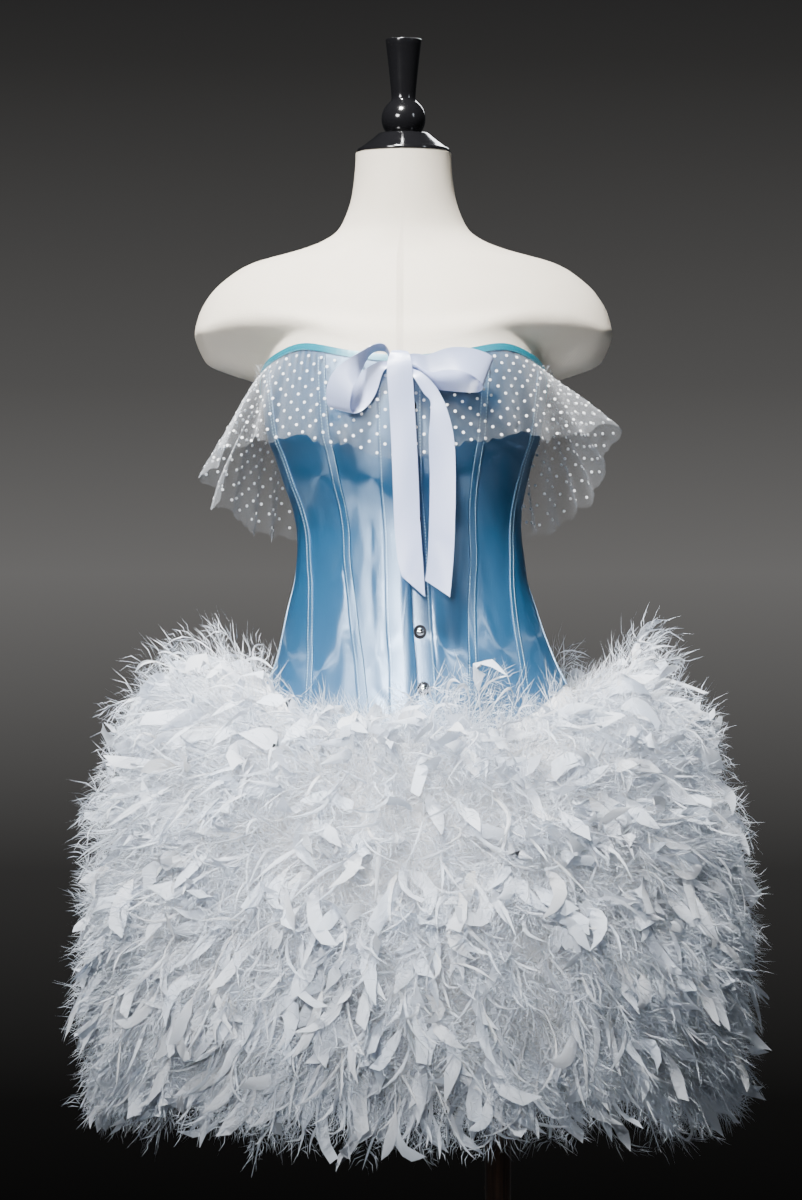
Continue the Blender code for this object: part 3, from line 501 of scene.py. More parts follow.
FORM_TURNS = (0, 14, 28, 42, 54, 65, 73, 80, 86, 93, 101, 112, 125, 139, 153, 167, 180)
TURN_STEPS = 5
PULLED_SMOOTH_FROM = 0.017
NECK_RIM = 0.012
SMOOTHING_PASSES = 5
LINEN_REACH = 0.14
last_turn = len(FORM_TURNS) - 1
finer_turns = spaced_levels(last_turn, TURN_STEPS)
form_half = np.radians(np.interp(finer_turns, np.arange(last_turn + 1), FORM_TURNS))
form_angles = np.concatenate((form_half, 2.0 * math.pi - form_half[-2:0:-1]))
form_levels = np.concatenate((
    np.linspace(FORM_BOTTOM, 1.245, 24),
    np.linspace(1.250, 1.440, 78),
    np.linspace(1.446, NECK_TOP, 12),
))
form_angle, form_height = np.broadcast_arrays(form_angles[None, :], form_levels[:, None])
form_grid = form_point(form_angle, form_height)
bare = form_height > edge_height(form_angle, 1.0) + PULLED_SMOOTH_FROM
bare &= form_height < NECK_TOP - NECK_RIM
for _ in range(SMOOTHING_PASSES):
    around = 0.5 * (np.roll(form_grid, 1, axis=1) + np.roll(form_grid, -1, axis=1))
    along = form_grid.copy()
    along[1:-1] = 0.5 * (form_grid[:-2] + form_grid[2:])
    form_grid = np.where(bare[..., None], 0.5 * form_grid + 0.25 * (around + along), form_grid)
form_points, form_faces = capped_rings(form_grid)
form_uv = np.stack((LINEN_REACH * form_angle, form_height), axis=-1).reshape(-1, 2)
form_uv = np.vstack((form_uv, [[0.0, FORM_BOTTOM], [0.0, NECK_TOP]]))
linen = woven_surface(
    "cream_linen", (0.80, 0.735, 0.635), (0.73, 0.66, 0.55), 0.85, 900.0, 0.0005, sheen=0.05
)
form = mesh_piece("bust_form", form_points, form_faces, linen, uv=form_uv)
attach(form, "root")
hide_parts("form_torso")


# The neck cap and finial: turned wood under thick black gloss lacquer, the cap screwed to
# the neck and the ball with its flared handle standing on it.
ProfilePoint = namedtuple("ProfilePoint", "z radius")
CAP_PROFILE = (
    ProfilePoint(1.5155, 0.0452),
    ProfilePoint(1.5160, 0.0460),
    ProfilePoint(1.5168, 0.0462),
    ProfilePoint(1.5182, 0.0462),
    ProfilePoint(1.5192, 0.0459),
    ProfilePoint(1.5200, 0.0450),
    ProfilePoint(1.5212, 0.0425),
    ProfilePoint(1.5232, 0.0398),
    ProfilePoint(1.5262, 0.0358),
    ProfilePoint(1.5298, 0.0310),
    ProfilePoint(1.5328, 0.0276),
    ProfilePoint(1.5342, 0.0260),
    ProfilePoint(1.5350, 0.0250),
)
NECK_CENTRE = (0.0, FORM_SECTIONS[-1].centre_y)
CAP_SIDES = 96
CAP_GAP = 0.0003
FINIAL_SIDES = 72
BALL_HEIGHT = 1.5495
BALL_RADIUS = 0.022
HANDLE_FOOT = 1.5680
HANDLE_TOP = 1.6295
HANDLE_WAIST = 0.0120
HANDLE_FLARE = 0.0060


def turned_rings(profile, around, centre=(0.0, 0.0), foot=0.0):
    """Closed rings round an upright line, from a profile of radii and heights over a foot."""
    turns = full_turn(around)
    rings = []
    for point in profile:
        x = centre[0] + point.radius * np.sin(turns)
        y = centre[1] - point.radius * np.cos(turns)
        rings.append(np.stack((x, y, np.full(around, foot + point.z)), axis=-1))
    return np.array(rings)


def turned_piece(name, profile, around, material, centre=(0.0, 0.0)):
    """Turned body from a profile of heights and radii, closed over both ends."""
    points, faces = capped_rings(turned_rings(profile, around, centre))
    return mesh_piece(name, points, faces, material)


def mapped(tree, value, low, high, start=0.0, end=1.0):
    """A value between start and end, moved to lie between low and high."""
    settings = {"Value": value, "From Min": start, "From Max": end, "To Min": low, "To Max": high}
    return shader_node(tree, "ShaderNodeMapRange", settings).outputs["Result"]


def lacquer_surface():
    """Thick black gloss lacquer, with faint smears in its polish."""
    material = plain_surface("black_lacquer", (0.006, 0.006, 0.007), 0.12)
    tree = material.node_tree
    finish(material, {
        "Roughness": mapped(tree, noise(tree, own_place(tree), 60.0, 4.0), 0.08, 0.24),
        "Coat Weight": 0.8,
        "Coat Roughness": 0.04,
    })
    return material


lacquer = lacquer_surface()
cap = turned_piece("lacquered_cap", CAP_PROFILE, CAP_SIDES, lacquer, centre=NECK_CENTRE)
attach(cap, "root")
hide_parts("neck_cap")

ball_foot = CAP_PROFILE[-1].z + CAP_GAP
ball_start = -math.asin((BALL_HEIGHT - ball_foot) / BALL_RADIUS)
ball_end = math.asin((HANDLE_FOOT - 0.0012 - BALL_HEIGHT) / BALL_RADIUS)
finial_profile = []
for turn in np.linspace(ball_start, ball_end, 30):
    height = BALL_HEIGHT + BALL_RADIUS * math.sin(turn)
    finial_profile.append(ProfilePoint(height, BALL_RADIUS * math.cos(turn)))
finial_profile += [
    ProfilePoint(HANDLE_FOOT - 0.0004, HANDLE_WAIST + 0.0008),
    ProfilePoint(HANDLE_FOOT + 0.0006, HANDLE_WAIST + 0.0004),
    ProfilePoint(HANDLE_FOOT + 0.0030, HANDLE_WAIST),
]
for share in np.linspace(0.08, 1.0, 12):
    radius = HANDLE_WAIST + HANDLE_FLARE * share ** 1.15
    finial_profile.append(ProfilePoint(HANDLE_FOOT + 0.0030 + 0.0575 * share, radius))
finial_profile += [
    ProfilePoint(HANDLE_TOP - 0.0004, 0.0179),
    ProfilePoint(HANDLE_TOP - 0.0001, 0.0175),
    ProfilePoint(HANDLE_TOP, 0.0170),
]
finial = turned_piece("turned_finial", finial_profile, FINIAL_SIDES, lacquer, centre=NECK_CENTRE)
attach(finial, "root")
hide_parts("finial")


# The stand: a round pole of dark varnished wood in a steel socket under the form, on a
# plain round steel plate that rests on the floor.
POLE_X = 0.0945
POLE_RADIUS = 0.013
POLE_SIDES = 48
BASE_SIDES = 128
pole_top = FORM_BOTTOM - 0.0003
POLE_PROFILE = (
    ProfilePoint(0.0063, POLE_RADIUS - 0.0006),
    ProfilePoint(0.0070, POLE_RADIUS),
    ProfilePoint(0.2000, POLE_RADIUS),
    ProfilePoint(0.5000, POLE_RADIUS),
    ProfilePoint(pole_top - 0.0007, POLE_RADIUS),
    ProfilePoint(pole_top, POLE_RADIUS - 0.0006),
)
BASE_PROFILE = (
    ProfilePoint(0.0, 0.1992),
    ProfilePoint(0.0008, 0.2000),
    ProfilePoint(0.0045, 0.2000),
    ProfilePoint(0.0056, 0.1996),
    ProfilePoint(0.0060, 0.1985),
    ProfilePoint(0.0060, 0.1000),
)
SOCKET_SECTION = (
    ProfilePoint(-0.0220, 0.0133),
    ProfilePoint(-0.0220, 0.0292),
    ProfilePoint(-0.0212, 0.0300),
    ProfilePoint(-0.0008, 0.0300),
    ProfilePoint(0.0, 0.0292),
    ProfilePoint(0.0, 0.0133),
)


def wood_surface():
    """Dark brown wood under varnish, with long fine grain up the pole."""
    material = plain_surface("varnished_wood", (0.060, 0.032, 0.020), 0.3)
    tree = material.node_tree
    drawn_out = {"Vector": own_place(tree), "Scale": (190.0, 190.0, 6.0)}
    stretched = shader_node(tree, "ShaderNodeMapping", drawn_out).outputs["Vector"]
    grain = noise(tree, stretched, 1.0, 6.0)
    browns = ((0.35, (0.026, 0.013, 0.008)), (0.68, (0.105, 0.055, 0.032)))
    finish(material, {
        "Base Color": colour_ramp(tree, grain, browns),
        "Normal": bumped(tree, grain, 0.25, 0.0003),
        "Coat Weight": 0.5,
        "Coat Roughness": 0.12,
    })
    return material


def steel_surface(name, colour, smooth, rough):
    """Steel whose polish is a little uneven."""
    material = plain_surface(name, colour, smooth)
    tree = material.node_tree
    polish = mapped(tree, noise(tree, own_place(tree), 38.0, 6.0), smooth, rough)
    finish(material, {"Roughness": polish, "Metallic": 1.0})
    return material


def looped_rings(rings):
    """Points and faces of closed rings, the last of them joined to the first."""
    count, around = rings.shape[:2]
    step = np.arange(around)
    ahead = (step + 1) % around
    last = (count - 1) * around
    joined = np.stack((last + step, last + ahead, ahead, step), axis=-1)
    return rings.reshape(-1, 3), [grid_faces(count, around, closed=True), joined]


wood = wood_surface()
pole = turned_piece("turned_pole", POLE_PROFILE, POLE_SIDES, wood, centre=(POLE_X, 0.0))
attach(pole, "root")
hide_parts("stand_pole")

steel = steel_surface("grey_steel", (0.16, 0.16, 0.17), 0.28, 0.58)
base = turned_piece("round_base", BASE_PROFILE, BASE_SIDES, steel)
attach(base, "root")
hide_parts("stand_base")

socket_rings = turned_rings(SOCKET_SECTION, POLE_SIDES, centre=(POLE_X, 0.0), foot=pole_top)
socket_points, socket_faces = looped_rings(socket_rings)
socket = mesh_piece("steel_socket", socket_points, socket_faces, steel)
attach(socket, "root")
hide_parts("pole_socket")


# The underskirt: white cotton gathered softly to the corset's hem, the cloth bell that every
# row of feather trim is sewn to.
SkirtLevel = namedtuple("SkirtLevel", "z half_width depth reach reach_z")
SKIRT_LEVELS = (
    SkirtLevel(0.905, 0.195, 0.163, 0.312, 0.930),
    SkirtLevel(0.855, 0.222, 0.192, 0.336, 0.846),
    SkirtLevel(0.800, 0.240, 0.214, 0.343, 0.764),
    SkirtLevel(0.745, 0.250, 0.226, 0.347, 0.694),
    SkirtLevel(0.690, 0.256, 0.233, 0.347, 0.626),
    SkirtLevel(0.640, 0.260, 0.237, 0.338, 0.564),
    SkirtLevel(0.600, 0.262, 0.239, 0.300, 0.512),
)
SKIRT_SWAY = 0.013
HEM_GAP = 0.0007
COTTON = 0.0009
GATHERS = 44
GATHER_DEPTH = 0.0011
SKIRT_COLUMNS = 176
SKIRT_STEPS = 4


def skirt_point(level, angle, out=0.0):
    """Points on the underskirt; level 0 is its seam with the corset, 7 its hem."""
    if level == 0:
        z = edge_height(angle, 0.0)
        points = corset_point(angle, z, out)
        points[..., 2] = z - HEM_GAP
        return points
    row = SKIRT_LEVELS[level - 1]
    x = SKIRT_SWAY + (row.half_width + out) * np.sin(angle)
    y = -(row.depth + out) * np.cos(angle)
    return np.stack((x, y, row.z + 0.0 * angle), axis=-1)


def wall_grid(outer, inner, closed=False):
    """Points and faces of a cloth wall between two grids of points."""
    rows, columns = outer.shape[:2]
    points = np.concatenate((outer.reshape(-1, 3), inner.reshape(-1, 3)))
    count = rows * columns
    near = grid_faces(rows, columns, closed)
    far = near[:, ::-1] + count
    column = np.arange(columns if closed else columns - 1)
    ahead = (column + 1) % columns
    last = (rows - 1) * columns
    low = np.stack((ahead, column, column + count, ahead + count), axis=-1)
    high = np.stack((last + column, last + ahead, last + ahead + count, last + column + count), -1)
    faces = [near, far, low, high]
    if not closed:
        row = np.arange(rows - 1) * columns
        above = row + columns
        end = columns - 1
        faces.append(np.stack((row, above, above + count, row + count), axis=-1))
        faces.append(np.stack((above + end, row + end, row + end + count, above + end + count), -1))
    return points, [np.concatenate(faces)]


def grid_lengths(grid):
    """Length along every row and down every column of a grid of points."""
    across = np.linalg.norm(np.diff(grid, axis=1), axis=-1)
    down = np.linalg.norm(np.diff(grid, axis=0), axis=-1)
    return across, down


def cut_places(grid):
    """Place of each point on the flat cut, in metres, for the weave."""
    across, down = grid_lengths(grid)
    u = np.zeros(grid.shape[:2])
    v = np.zeros(grid.shape[:2])
    u[:, 1:] = np.cumsum(across, axis=1)
    v[1:, :] = np.cumsum(down, axis=0)
    flat = np.stack((u - u[:, -1:] * 0.5, v), axis=-1).reshape(-1, 2)
    return np.vstack((flat, flat))


def outward(angle):
    """Level directions straight out from the dress at each angle."""
    return np.stack((np.sin(angle), -np.cos(angle), 0.0 * angle), axis=-1)


skirt_angles = full_turn(SKIRT_COLUMNS)
skirt_rows = []
for place in spaced_levels(len(SKIRT_LEVELS), SKIRT_STEPS):
    above = min(int(place), len(SKIRT_LEVELS) - 1)
    upper = skirt_point(above, skirt_angles)
    lower = skirt_point(above + 1, skirt_angles)
    gather = GATHER_DEPTH * math.exp(-place * 0.55)
    ripple = gather * np.sin(skirt_angles * GATHERS + 0.5 * np.sin(5.0 * skirt_angles)) - gather
    row = upper + (place - above) * (lower - upper)
    skirt_rows.append(row + ripple[:, None] * outward(skirt_angles))
skirt_outer = np.array(skirt_rows)
skirt_inner = skirt_outer - COTTON * outward(skirt_angles)
skirt_points, skirt_faces = wall_grid(skirt_outer, skirt_inner, closed=True)
white_cotton = woven_surface(
    "white_cotton", (0.90, 0.90, 0.92), (0.84, 0.83, 0.84), 0.85, 1400.0, 0.0003
)
underskirt = mesh_piece(
    "cotton_underskirt", skirt_points, skirt_faces, white_cotton, uv=cut_places(skirt_outer)
)
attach(underskirt, "root")
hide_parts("underskirt")


# The corset: ten shaped panels of sky-blue satin, seamed together over steel bones that lie
# in sewn channels, with a busk down the front. The satin pulls into soft creases.
SATIN = 0.0018
SEAM_GAP = 0.0003
CHANNEL_WIDTH = 0.008
CHANNEL_RISE = 0.0008
CHANNEL_EDGE = 0.0012
CHANNEL_END = 0.012
STITCH_INSET = 0.0010
STITCH_DIP = 0.0005
BUSK_COVER_RIGHT = 0.022
BUSK_COVER_LEFT = 0.015
PANEL_ROWS = 124
PANEL_COLUMNS = 13
SeamLine = namedtuple("SeamLine", "z first second third fourth")
SEAM_LINES = (
    SeamLine(0.930, 15.5, 37.0, 75.0, 126.0),
    SeamLine(0.970, 18.0, 41.0, 79.0, 128.0),
    SeamLine(1.007, 21.5, 46.5, 84.0, 130.0),
    SeamLine(1.055, 25.5, 51.5, 90.0, 133.0),
    SeamLine(1.116, 31.0, 60.0, 98.0, 138.0),
    SeamLine(1.231, 31.5, 66.0, 100.0, 140.0),
    SeamLine(1.330, 31.5, 66.0, 100.0, 140.0),
)
SEAMS = ("centre_front", "first", "second", "third", "fourth", "centre_back")
PANELS = ("front", "side_front", "side", "side_back", "back")
LAST_PANEL = len(PANELS) - 1
BACK_CHANNEL = np.array((0.0092, 0.0086, 0.0080, 0.0072, 0.0040, 0.0012, 0.0005, 0.0))
BACK_CHANNEL_ROOM = 0.0120

# Each crease of the satin: degrees round from the front to the wearer's left, height,
# length and lean along it, and its depth and width in millimetres. Troughs are negative.
Crease = namedtuple("Crease", "turn z length lean depth width")
CREASES = (
    Crease(-8.0, 1.150, 75, 0, -0.9, 3.0),
    Crease(-20.5, 1.128, 46, 2, -1.0, 2.6),
    Crease(-19.5, 1.070, 96, -3, -0.8, 3.6),
    Crease(-13.5, 1.105, 150, 1, 0.8, 5.5),
    Crease(-23.0, 1.165, 110, 4, 0.7, 5.0),
    Crease(-15.5, 1.200, 70, -2, -0.6, 4.5),
    Crease(-11.0, 1.020, 80, -6, -0.8, 3.4),
    Crease(-15.0, 1.000, 60, -10, 0.7, 4.0),
    Crease(-12.5, 0.972, 34, -38, -0.7, 3.2),
    Crease(-14.0, 0.958, 30, -46, 0.6, 3.4),
    Crease(-10.0, 0.992, 26, -30, 0.6, 3.2),
    Crease(-25.0, 1.215, 56, 3, -0.7, 3.5),
    Crease(-34.0, 1.060, 120, -2, 0.8, 6.0),
    Crease(-38.0, 1.105, 40, 24, -0.8, 4.0),
    Crease(-37.0, 1.090, 30, 52, 0.7, 4.5),
    Crease(-44.0, 1.035, 70, -3, -0.6, 5.5),
    Crease(-30.0, 1.000, 70, -7, 0.5, 5.0),
    Crease(-50.0, 1.180, 90, 8, 0.6, 6.5),
    Crease(-57.0, 1.110, 80, 0, -0.5, 6.0),
    Crease(-48.0, 1.140, 60, 12, -0.6, 5.0),
    Crease(-72.0, 1.080, 100, -3, 0.6, 7.0),
    Crease(-84.0, 1.130, 70, 30, -0.7, 4.5),
    Crease(-79.0, 1.165, 60, 36, 0.6, 5.5),
    Crease(9.5, 1.040, 110, 1, 0.8, 4.6),
    Crease(14.5, 1.060, 130, 2, -0.6, 5.0),
    Crease(21.0, 1.110, 120, 0, 0.5, 6.5),
    Crease(13.0, 1.180, 80, -3, -0.6, 4.0),
    Crease(25.5, 1.030, 60, 3, -0.7, 4.0),
    Crease(35.0, 1.042, 62, -6, 0.9, 4.4),
    Crease(33.0, 1.005, 44, 4, 0.6, 4.2),
    Crease(41.0, 1.090, 110, 0, -0.5, 7.0),
    Crease(47.0, 1.200, 40, -44, -0.8, 3.8),
    Crease(52.0, 1.190, 46, -48, 0.8, 4.4),
    Crease(57.0, 1.178, 44, -52, -0.7, 4.0),
    Crease(44.0, 1.160, 60, -30, 0.5, 5.5),
    Crease(38.0, 1.215, 36, -36, -0.6, 4.0),
    Crease(67.0, 1.110, 120, 2, 0.6, 6.5),
    Crease(72.0, 1.040, 90, -6, -0.7, 5.0),
    Crease(84.0, 1.160, 70, -32, -0.7, 4.5),
    Crease(88.0, 1.105, 60, -26, 0.6, 5.5),
    Crease(104.0, 1.130, 90, -8, 0.6, 6.0),
    Crease(112.0, 1.070, 110, 4, -0.6, 6.0),
    Crease(123.0, 1.150, 80, 22, -0.7, 4.8),
    Crease(131.0, 1.105, 60, 30, 0.6, 5.4),
    Crease(145.0, 1.120, 120, -2, 0.6, 6.0),
    Crease(153.0, 1.190, 70, -26, -0.6, 4.6),
    Crease(160.0, 1.040, 100, 3, -0.7, 5.0),
    Crease(168.0, 1.130, 130, 0, 0.6, 5.5),
    Crease(-104.0, 1.110, 110, 6, 0.6, 6.2),
    Crease(-114.0, 1.165, 70, 20, -0.7, 4.6),
    Crease(-122.0, 1.050, 100, -5, -0.6, 5.6),
    Crease(-133.0, 1.120, 70, -28, 0.6, 5.4),
    Crease(-146.0, 1.070, 90, 4, 0.5, 6.2),
    Crease(-154.0, 1.175, 80, 24, -0.7, 4.8),
    Crease(-161.0, 1.100, 120, -1, 0.6, 5.4),
    Crease(-169.0, 1.035, 80, 8, -0.6, 4.6),
)


def seam_angles(seam, side, level):
    """Angle of a seam at each level, found by settling on its height."""
    if seam == "centre_front":
        return 0.0 * level
    if seam == "centre_back":
        return side * math.pi + 0.0 * level
    line = reader(SEAM_LINES, "z", seam)
    angle = np.radians(60.0) + 0.0 * level
    for _ in range(8):
        angle = np.radians(line(edge_height(angle, level)))
    return side * angle


def crease_relief(angle, z):
    """How far the creased satin stands out or in, in metres."""
    relief = 0.0 * z
    degrees = (np.degrees(angle) + 180.0) % 360.0 - 180.0
    for crease in CREASES:
        radius = 0.5 * (corset_half_width(crease.z) + corset_front(crease.z))
        side = np.radians((degrees - crease.turn + 180.0) % 360.0 - 180.0) * radius * 1000.0
        rise = (z - crease.z) * 1000.0
        lean = math.radians(crease.lean)
        along = rise * math.cos(lean) + side * math.sin(lean)
        off = side * math.cos(lean) - rise * math.sin(lean)
        off = off + 0.8 * np.sin(along / 17.0 + crease.turn)
        fade = smooth_step((0.5 * crease.length - np.abs(along)) / (0.35 * crease.length))
        relief = relief + crease.depth * fade * np.exp(-(off / crease.width) ** 2)
    return relief * 0.001


def panel_edges(panel, side, levels):
    """Angles of a panel's two seams at each level, and the corset's radius between them."""
    start = seam_angles(SEAMS[panel], side, levels)
    end = seam_angles(SEAMS[panel + 1], side, levels)
    middle = edge_height(0.5 * (start + end), levels)
    return start, end, 0.5 * (corset_half_width(middle) + corset_front(middle))


def channel_width(panel, side):
    """Width of the channel at a panel's first seam, which is the busk's cover in front."""
    if panel > 0:
        return CHANNEL_WIDTH
    return BUSK_COVER_LEFT if side > 0 else BUSK_COVER_RIGHT


def panel_grid(panel, side):
    """Angles, heights, and the raise of the channels and creases, over one panel."""
    levels = np.linspace(0.0, 1.0, PANEL_ROWS)
    start, end, radius = panel_edges(panel, side, levels)
    band = channel_width(panel, side)
    start = start + side * 0.5 * SEAM_GAP / radius
    end = end - side * 0.5 * SEAM_GAP / radius
    width = (np.abs(end - start) * radius)[:, None]
    near = np.array([0.0, 0.0006, 0.0014, 0.5 * band, band - 0.0014, band - 0.0006, band,
                     band + 0.0006, band + 0.0012, band + 0.0022, band + 0.0045])
    room = width - near[-1]
    if panel == LAST_PANEL:
        room = room - BACK_CHANNEL_ROOM
    share = np.linspace(0.0, 1.0, PANEL_COLUMNS + 1)[1:]
    columns = [near[None, :] + 0.0 * width, near[-1] + room * share[None, :]]
    if panel == LAST_PANEL:
        columns.append(width - BACK_CHANNEL[None, :])
    distance = np.concatenate(columns, axis=1)
    angle = start[:, None] + side * distance / radius[:, None]
    z = edge_height(angle, levels[:, None] + 0.0 * angle)

    def channel(from_seam):
        """Rounded tunnel for a bone, with the cloth drawn in along both rows of stitches."""
        inside = smooth_step((band + CHANNEL_EDGE - from_seam) / CHANNEL_EDGE)
        sewn = np.exp(-((from_seam - band + STITCH_INSET) / STITCH_DIP) ** 2)
        sewn = sewn + np.exp(-((from_seam - STITCH_INSET) / STITCH_DIP) ** 2)
        crown = np.clip(1.0 - ((from_seam - 0.5 * band) / (0.5 * band)) ** 2, 0.0, 1.0)
        return inside * (0.92 + 0.18 * crown) - 0.32 * np.clip(sewn, 0.0, 1.0) * inside

    raised = channel(distance)
    if panel == 0 and side < 0:
        turned_in = 1.0 - smooth_step(distance / 0.0017)
        raised = raised * (1.0 - turned_in) - 1.2 * turned_in
    if panel == LAST_PANEL:
        from_back = width - distance
        narrow = smooth_step((CHANNEL_WIDTH + CHANNEL_EDGE - from_back) / CHANNEL_EDGE)
        raised = np.maximum(raised, narrow)
    below_top = edge_height(angle, 1.0) - z
    shown = smooth_step((below_top - 0.007) / 0.004)
    flat = 1.0 - smooth_step((band + 0.004 - distance) / 0.004)
    flat = flat * smooth_step((width - distance - 0.001) / 0.006)
    from_band = np.abs(distance - band - 0.002)
    pucker = np.sin(z * 2.0 * math.pi / 0.0105 + 1.7 * np.sin(z * 61.0 + panel * 2.0 + side))
    pucker = pucker * np.exp(-(from_band / 0.006) ** 2) * (0.6 + 0.4 * np.sin(z * 37.0 + panel))
    slack = np.sin(z * 93.0 + 2.4 * np.sin(angle * 9.0) + panel) * np.sin(angle * 21.0 + side)
    rise = CHANNEL_RISE * raised
    rise = rise + flat * (crease_relief(angle, z) + 0.00016 * pucker + 0.00022 * slack)
    rise = np.maximum(rise, -0.0013) * shown
    return angle, z, rise


def satin_floats_group():
    """Satin's long floats: fine streaks along the cut, with faint bands where they slip."""
    group, given, result = node_group(
        "satin_floats",
        inputs=(("Place", "NodeSocketVector"), ("Fineness", "NodeSocketFloat")),
        outputs=("Streak", "Rub"),
    )
    drawn_out = {"Vector": given["Place"], "Scale": (1.0, 0.035, 1.0)}
    stretched = shader_node(group, "ShaderNodeMapping", drawn_out).outputs["Vector"]
    group.links.new(noise(group, stretched, given["Fineness"], 3.0), result["Streak"])
    group.links.new(noise(group, given["Place"], 22.0, 4.0), result["Rub"])
    return group


SATIN_FLOATS = satin_floats_group()


def satin_surface(name, light, dark, smooth, rough, metallic, coat):
    """Glossy satin: a streaked colour and a gloss that varies a little over the cloth."""
    material = plain_surface(name, light, smooth)
    tree = material.node_tree
    floats = shader_node(
        tree, "ShaderNodeGroup", {"Place": cut_place(tree), "Fineness": 1500.0},
        node_tree=SATIN_FLOATS,
    )
    streak = floats.outputs["Streak"]
    finish(material, {
        "Base Color": two_shades(tree, streak, dark, light),
        "Roughness": mapped(tree, floats.outputs["Rub"], smooth, rough, start=0.3, end=0.7),
        "Normal": bumped(tree, streak, 0.35, 0.0002),
        "Metallic": metallic,
        "Specular IOR Level": 1.0,
        "Coat Weight": coat,
        "Coat Roughness": 0.25,
        "Anisotropic": 0.8,
        "Anisotropic Rotation": 0.25,
    })
    return material


blue_satin = satin_surface(
    "sky_blue_satin", (0.026, 0.148, 0.315), (0.017, 0.105, 0.235), 0.33, 0.43, 0.45, 0.15
)
finish(blue_satin, {"IOR": 2.1})
for side, hand in ((-1, "right"), (1, "left")):
    for panel, label in enumerate(PANELS):
        angle, z, rise = panel_grid(panel, side)
        outer = corset_point(angle, z, rise)
        inner = corset_point(angle, z, -SATIN)
        points, faces = wall_grid(outer, inner)
        piece = mesh_piece(f"satin_{label}_{hand}", points, faces, blue_satin, uv=cut_places(outer))
        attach(piece, "root")
        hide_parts(f"{label}_panel_{hand}")


# Channel stitching: pale blue thread in short stitches down both sides of every bone channel
# and down the covers of the busk, each stitch sunk a little at its ends.
STITCH = 0.0021
STITCH_STEP = 0.0031
BACK_SEAM_INSET = 0.0012
THREAD_RADIUS = 0.00030
StitchSection = namedtuple("StitchSection", "share size lift")
STITCH_SECTIONS = (
    StitchSection(0.00, 0.35, 0.20),
    StitchSection(0.18, 0.95, 0.75),
    StitchSection(0.82, 0.95, 0.75),
    StitchSection(1.00, 0.35, 0.20),
)
THREAD_SIDES = 4


def unit(vectors):
    """Vectors with their lengths made one."""
    return vectors / np.maximum(np.linalg.norm(vectors, axis=-1, keepdims=True), 1e-9)


def repeated_faces(faces, copies, points_each):
    """The faces of one small piece, once for each copy of its points."""
    first = np.arange(copies)[:, None, None] * points_each
    return (faces[None] + first).reshape(-1, faces.shape[1])


def stitch_line(panel, side, inset, from_end):
    """Starts, ends and outward directions of one row of stitches, inset from a panel's seam."""
    levels = np.linspace(0.0, 1.0, 260)
    start, end, radius = panel_edges(panel, side, levels)
    angle = end - side * inset / radius if from_end else start + side * inset / radius
    line = corset_point(angle, edge_height(angle, levels), CHANNEL_RISE * 0.72)
    run = np.concatenate(([0.0], np.cumsum(np.linalg.norm(np.diff(line, axis=0), axis=-1))))
    stops = np.arange(0.004, run[-1] - CHANNEL_END, STITCH_STEP)
    ends = []
    for stop in (stops, stops + STITCH):
        ends.append(np.stack([np.interp(stop, run, line[:, axis]) for axis in range(3)], axis=-1))
    return ends[0], ends[1], outward(np.interp(stops, run, angle))


def thread_mesh(starts, ends, away):
    """One slender stitch, four-sided and crowned, for each pair of ends."""
    side = unit(np.cross(unit(ends - starts), away))
    rings = []
    for section in STITCH_SECTIONS:
        centre = starts + section.share * (ends - starts) + away * THREAD_RADIUS * section.lift
        for turn in full_turn(THREAD_SIDES):
            spoke = math.cos(turn) * side + math.sin(turn) * away
            rings.append(centre + THREAD_RADIUS * section.size * spoke)
    points = np.stack(rings, axis=1).reshape(-1, 3)
    sides = grid_faces(len(STITCH_SECTIONS), THREAD_SIDES, closed=True)
    caps = np.array([[3, 2, 1, 0], [12, 13, 14, 15]])
    return points, [repeated_faces(faces, len(starts), len(rings)) for faces in (sides, caps)]


stitches = []
for side in (-1, 1):
    for panel in range(len(PANELS)):
        lines = [(channel_width(panel, side) - STITCH_INSET, False)]
        if panel > 0:
            lines.insert(0, (STITCH_INSET, False))
        if panel == LAST_PANEL:
            lines += [(CHANNEL_WIDTH - STITCH_INSET, True), (BACK_SEAM_INSET, True)]
        for inset, from_end in lines:
            stitches.append(stitch_line(panel, side, inset, from_end))
thread_points, thread_faces = thread_mesh(*(np.concatenate(kind) for kind in zip(*stitches)))
pale_thread = woven_surface(
    "pale_blue_thread", (0.50, 0.72, 0.84), (0.36, 0.60, 0.76), 0.5, 3000.0, 0.0001, has_cut=False
)
stitching = mesh_piece("channel_stitching", thread_points, thread_faces, pale_thread)
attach(stitching, "root")


# The busk's fastenings: stamped steel loops on the wearer's right edge, each hooked over
# a polished domed stud on the left edge.
FASTENINGS = 6
FASTENING_SPACING = 0.0552
LOWEST_FASTENING = 0.981
LOOP_LENGTH = 0.0125
LOOP_WIDTH = 0.014
LOOP_THICKNESS = 0.0012
LOOP_SIDES = 40
STUD_HEAD = 0.004
STUD_NECK = 0.0019
STUD_HOLE = 0.0024
STUD_RIM = 0.0007
STUD_DOME = 0.0017
STUD_SIDES = 28
BUSK_SEAT = 0.0007
PANEL_LEVELS = (0.0, 0.10, 0.20, 0.30, 0.40, 0.50, 0.61, 0.72, 0.83, 0.93, 0.976, 1.0)


def busk_face(z):
    """Point on the covered edge of the front panels, on the straight run between two levels."""
    heights = [float(edge_height(0.0, level)) for level in PANEL_LEVELS]
    above = next(i for i, height in enumerate(heights) if height > z)
    low = Vector(corset_point(0.0, heights[above - 1], CHANNEL_RISE))
    high = Vector(corset_point(0.0, heights[above], CHANNEL_RISE))
    return low.lerp(high, (z - low.z) / (high.z - low.z))


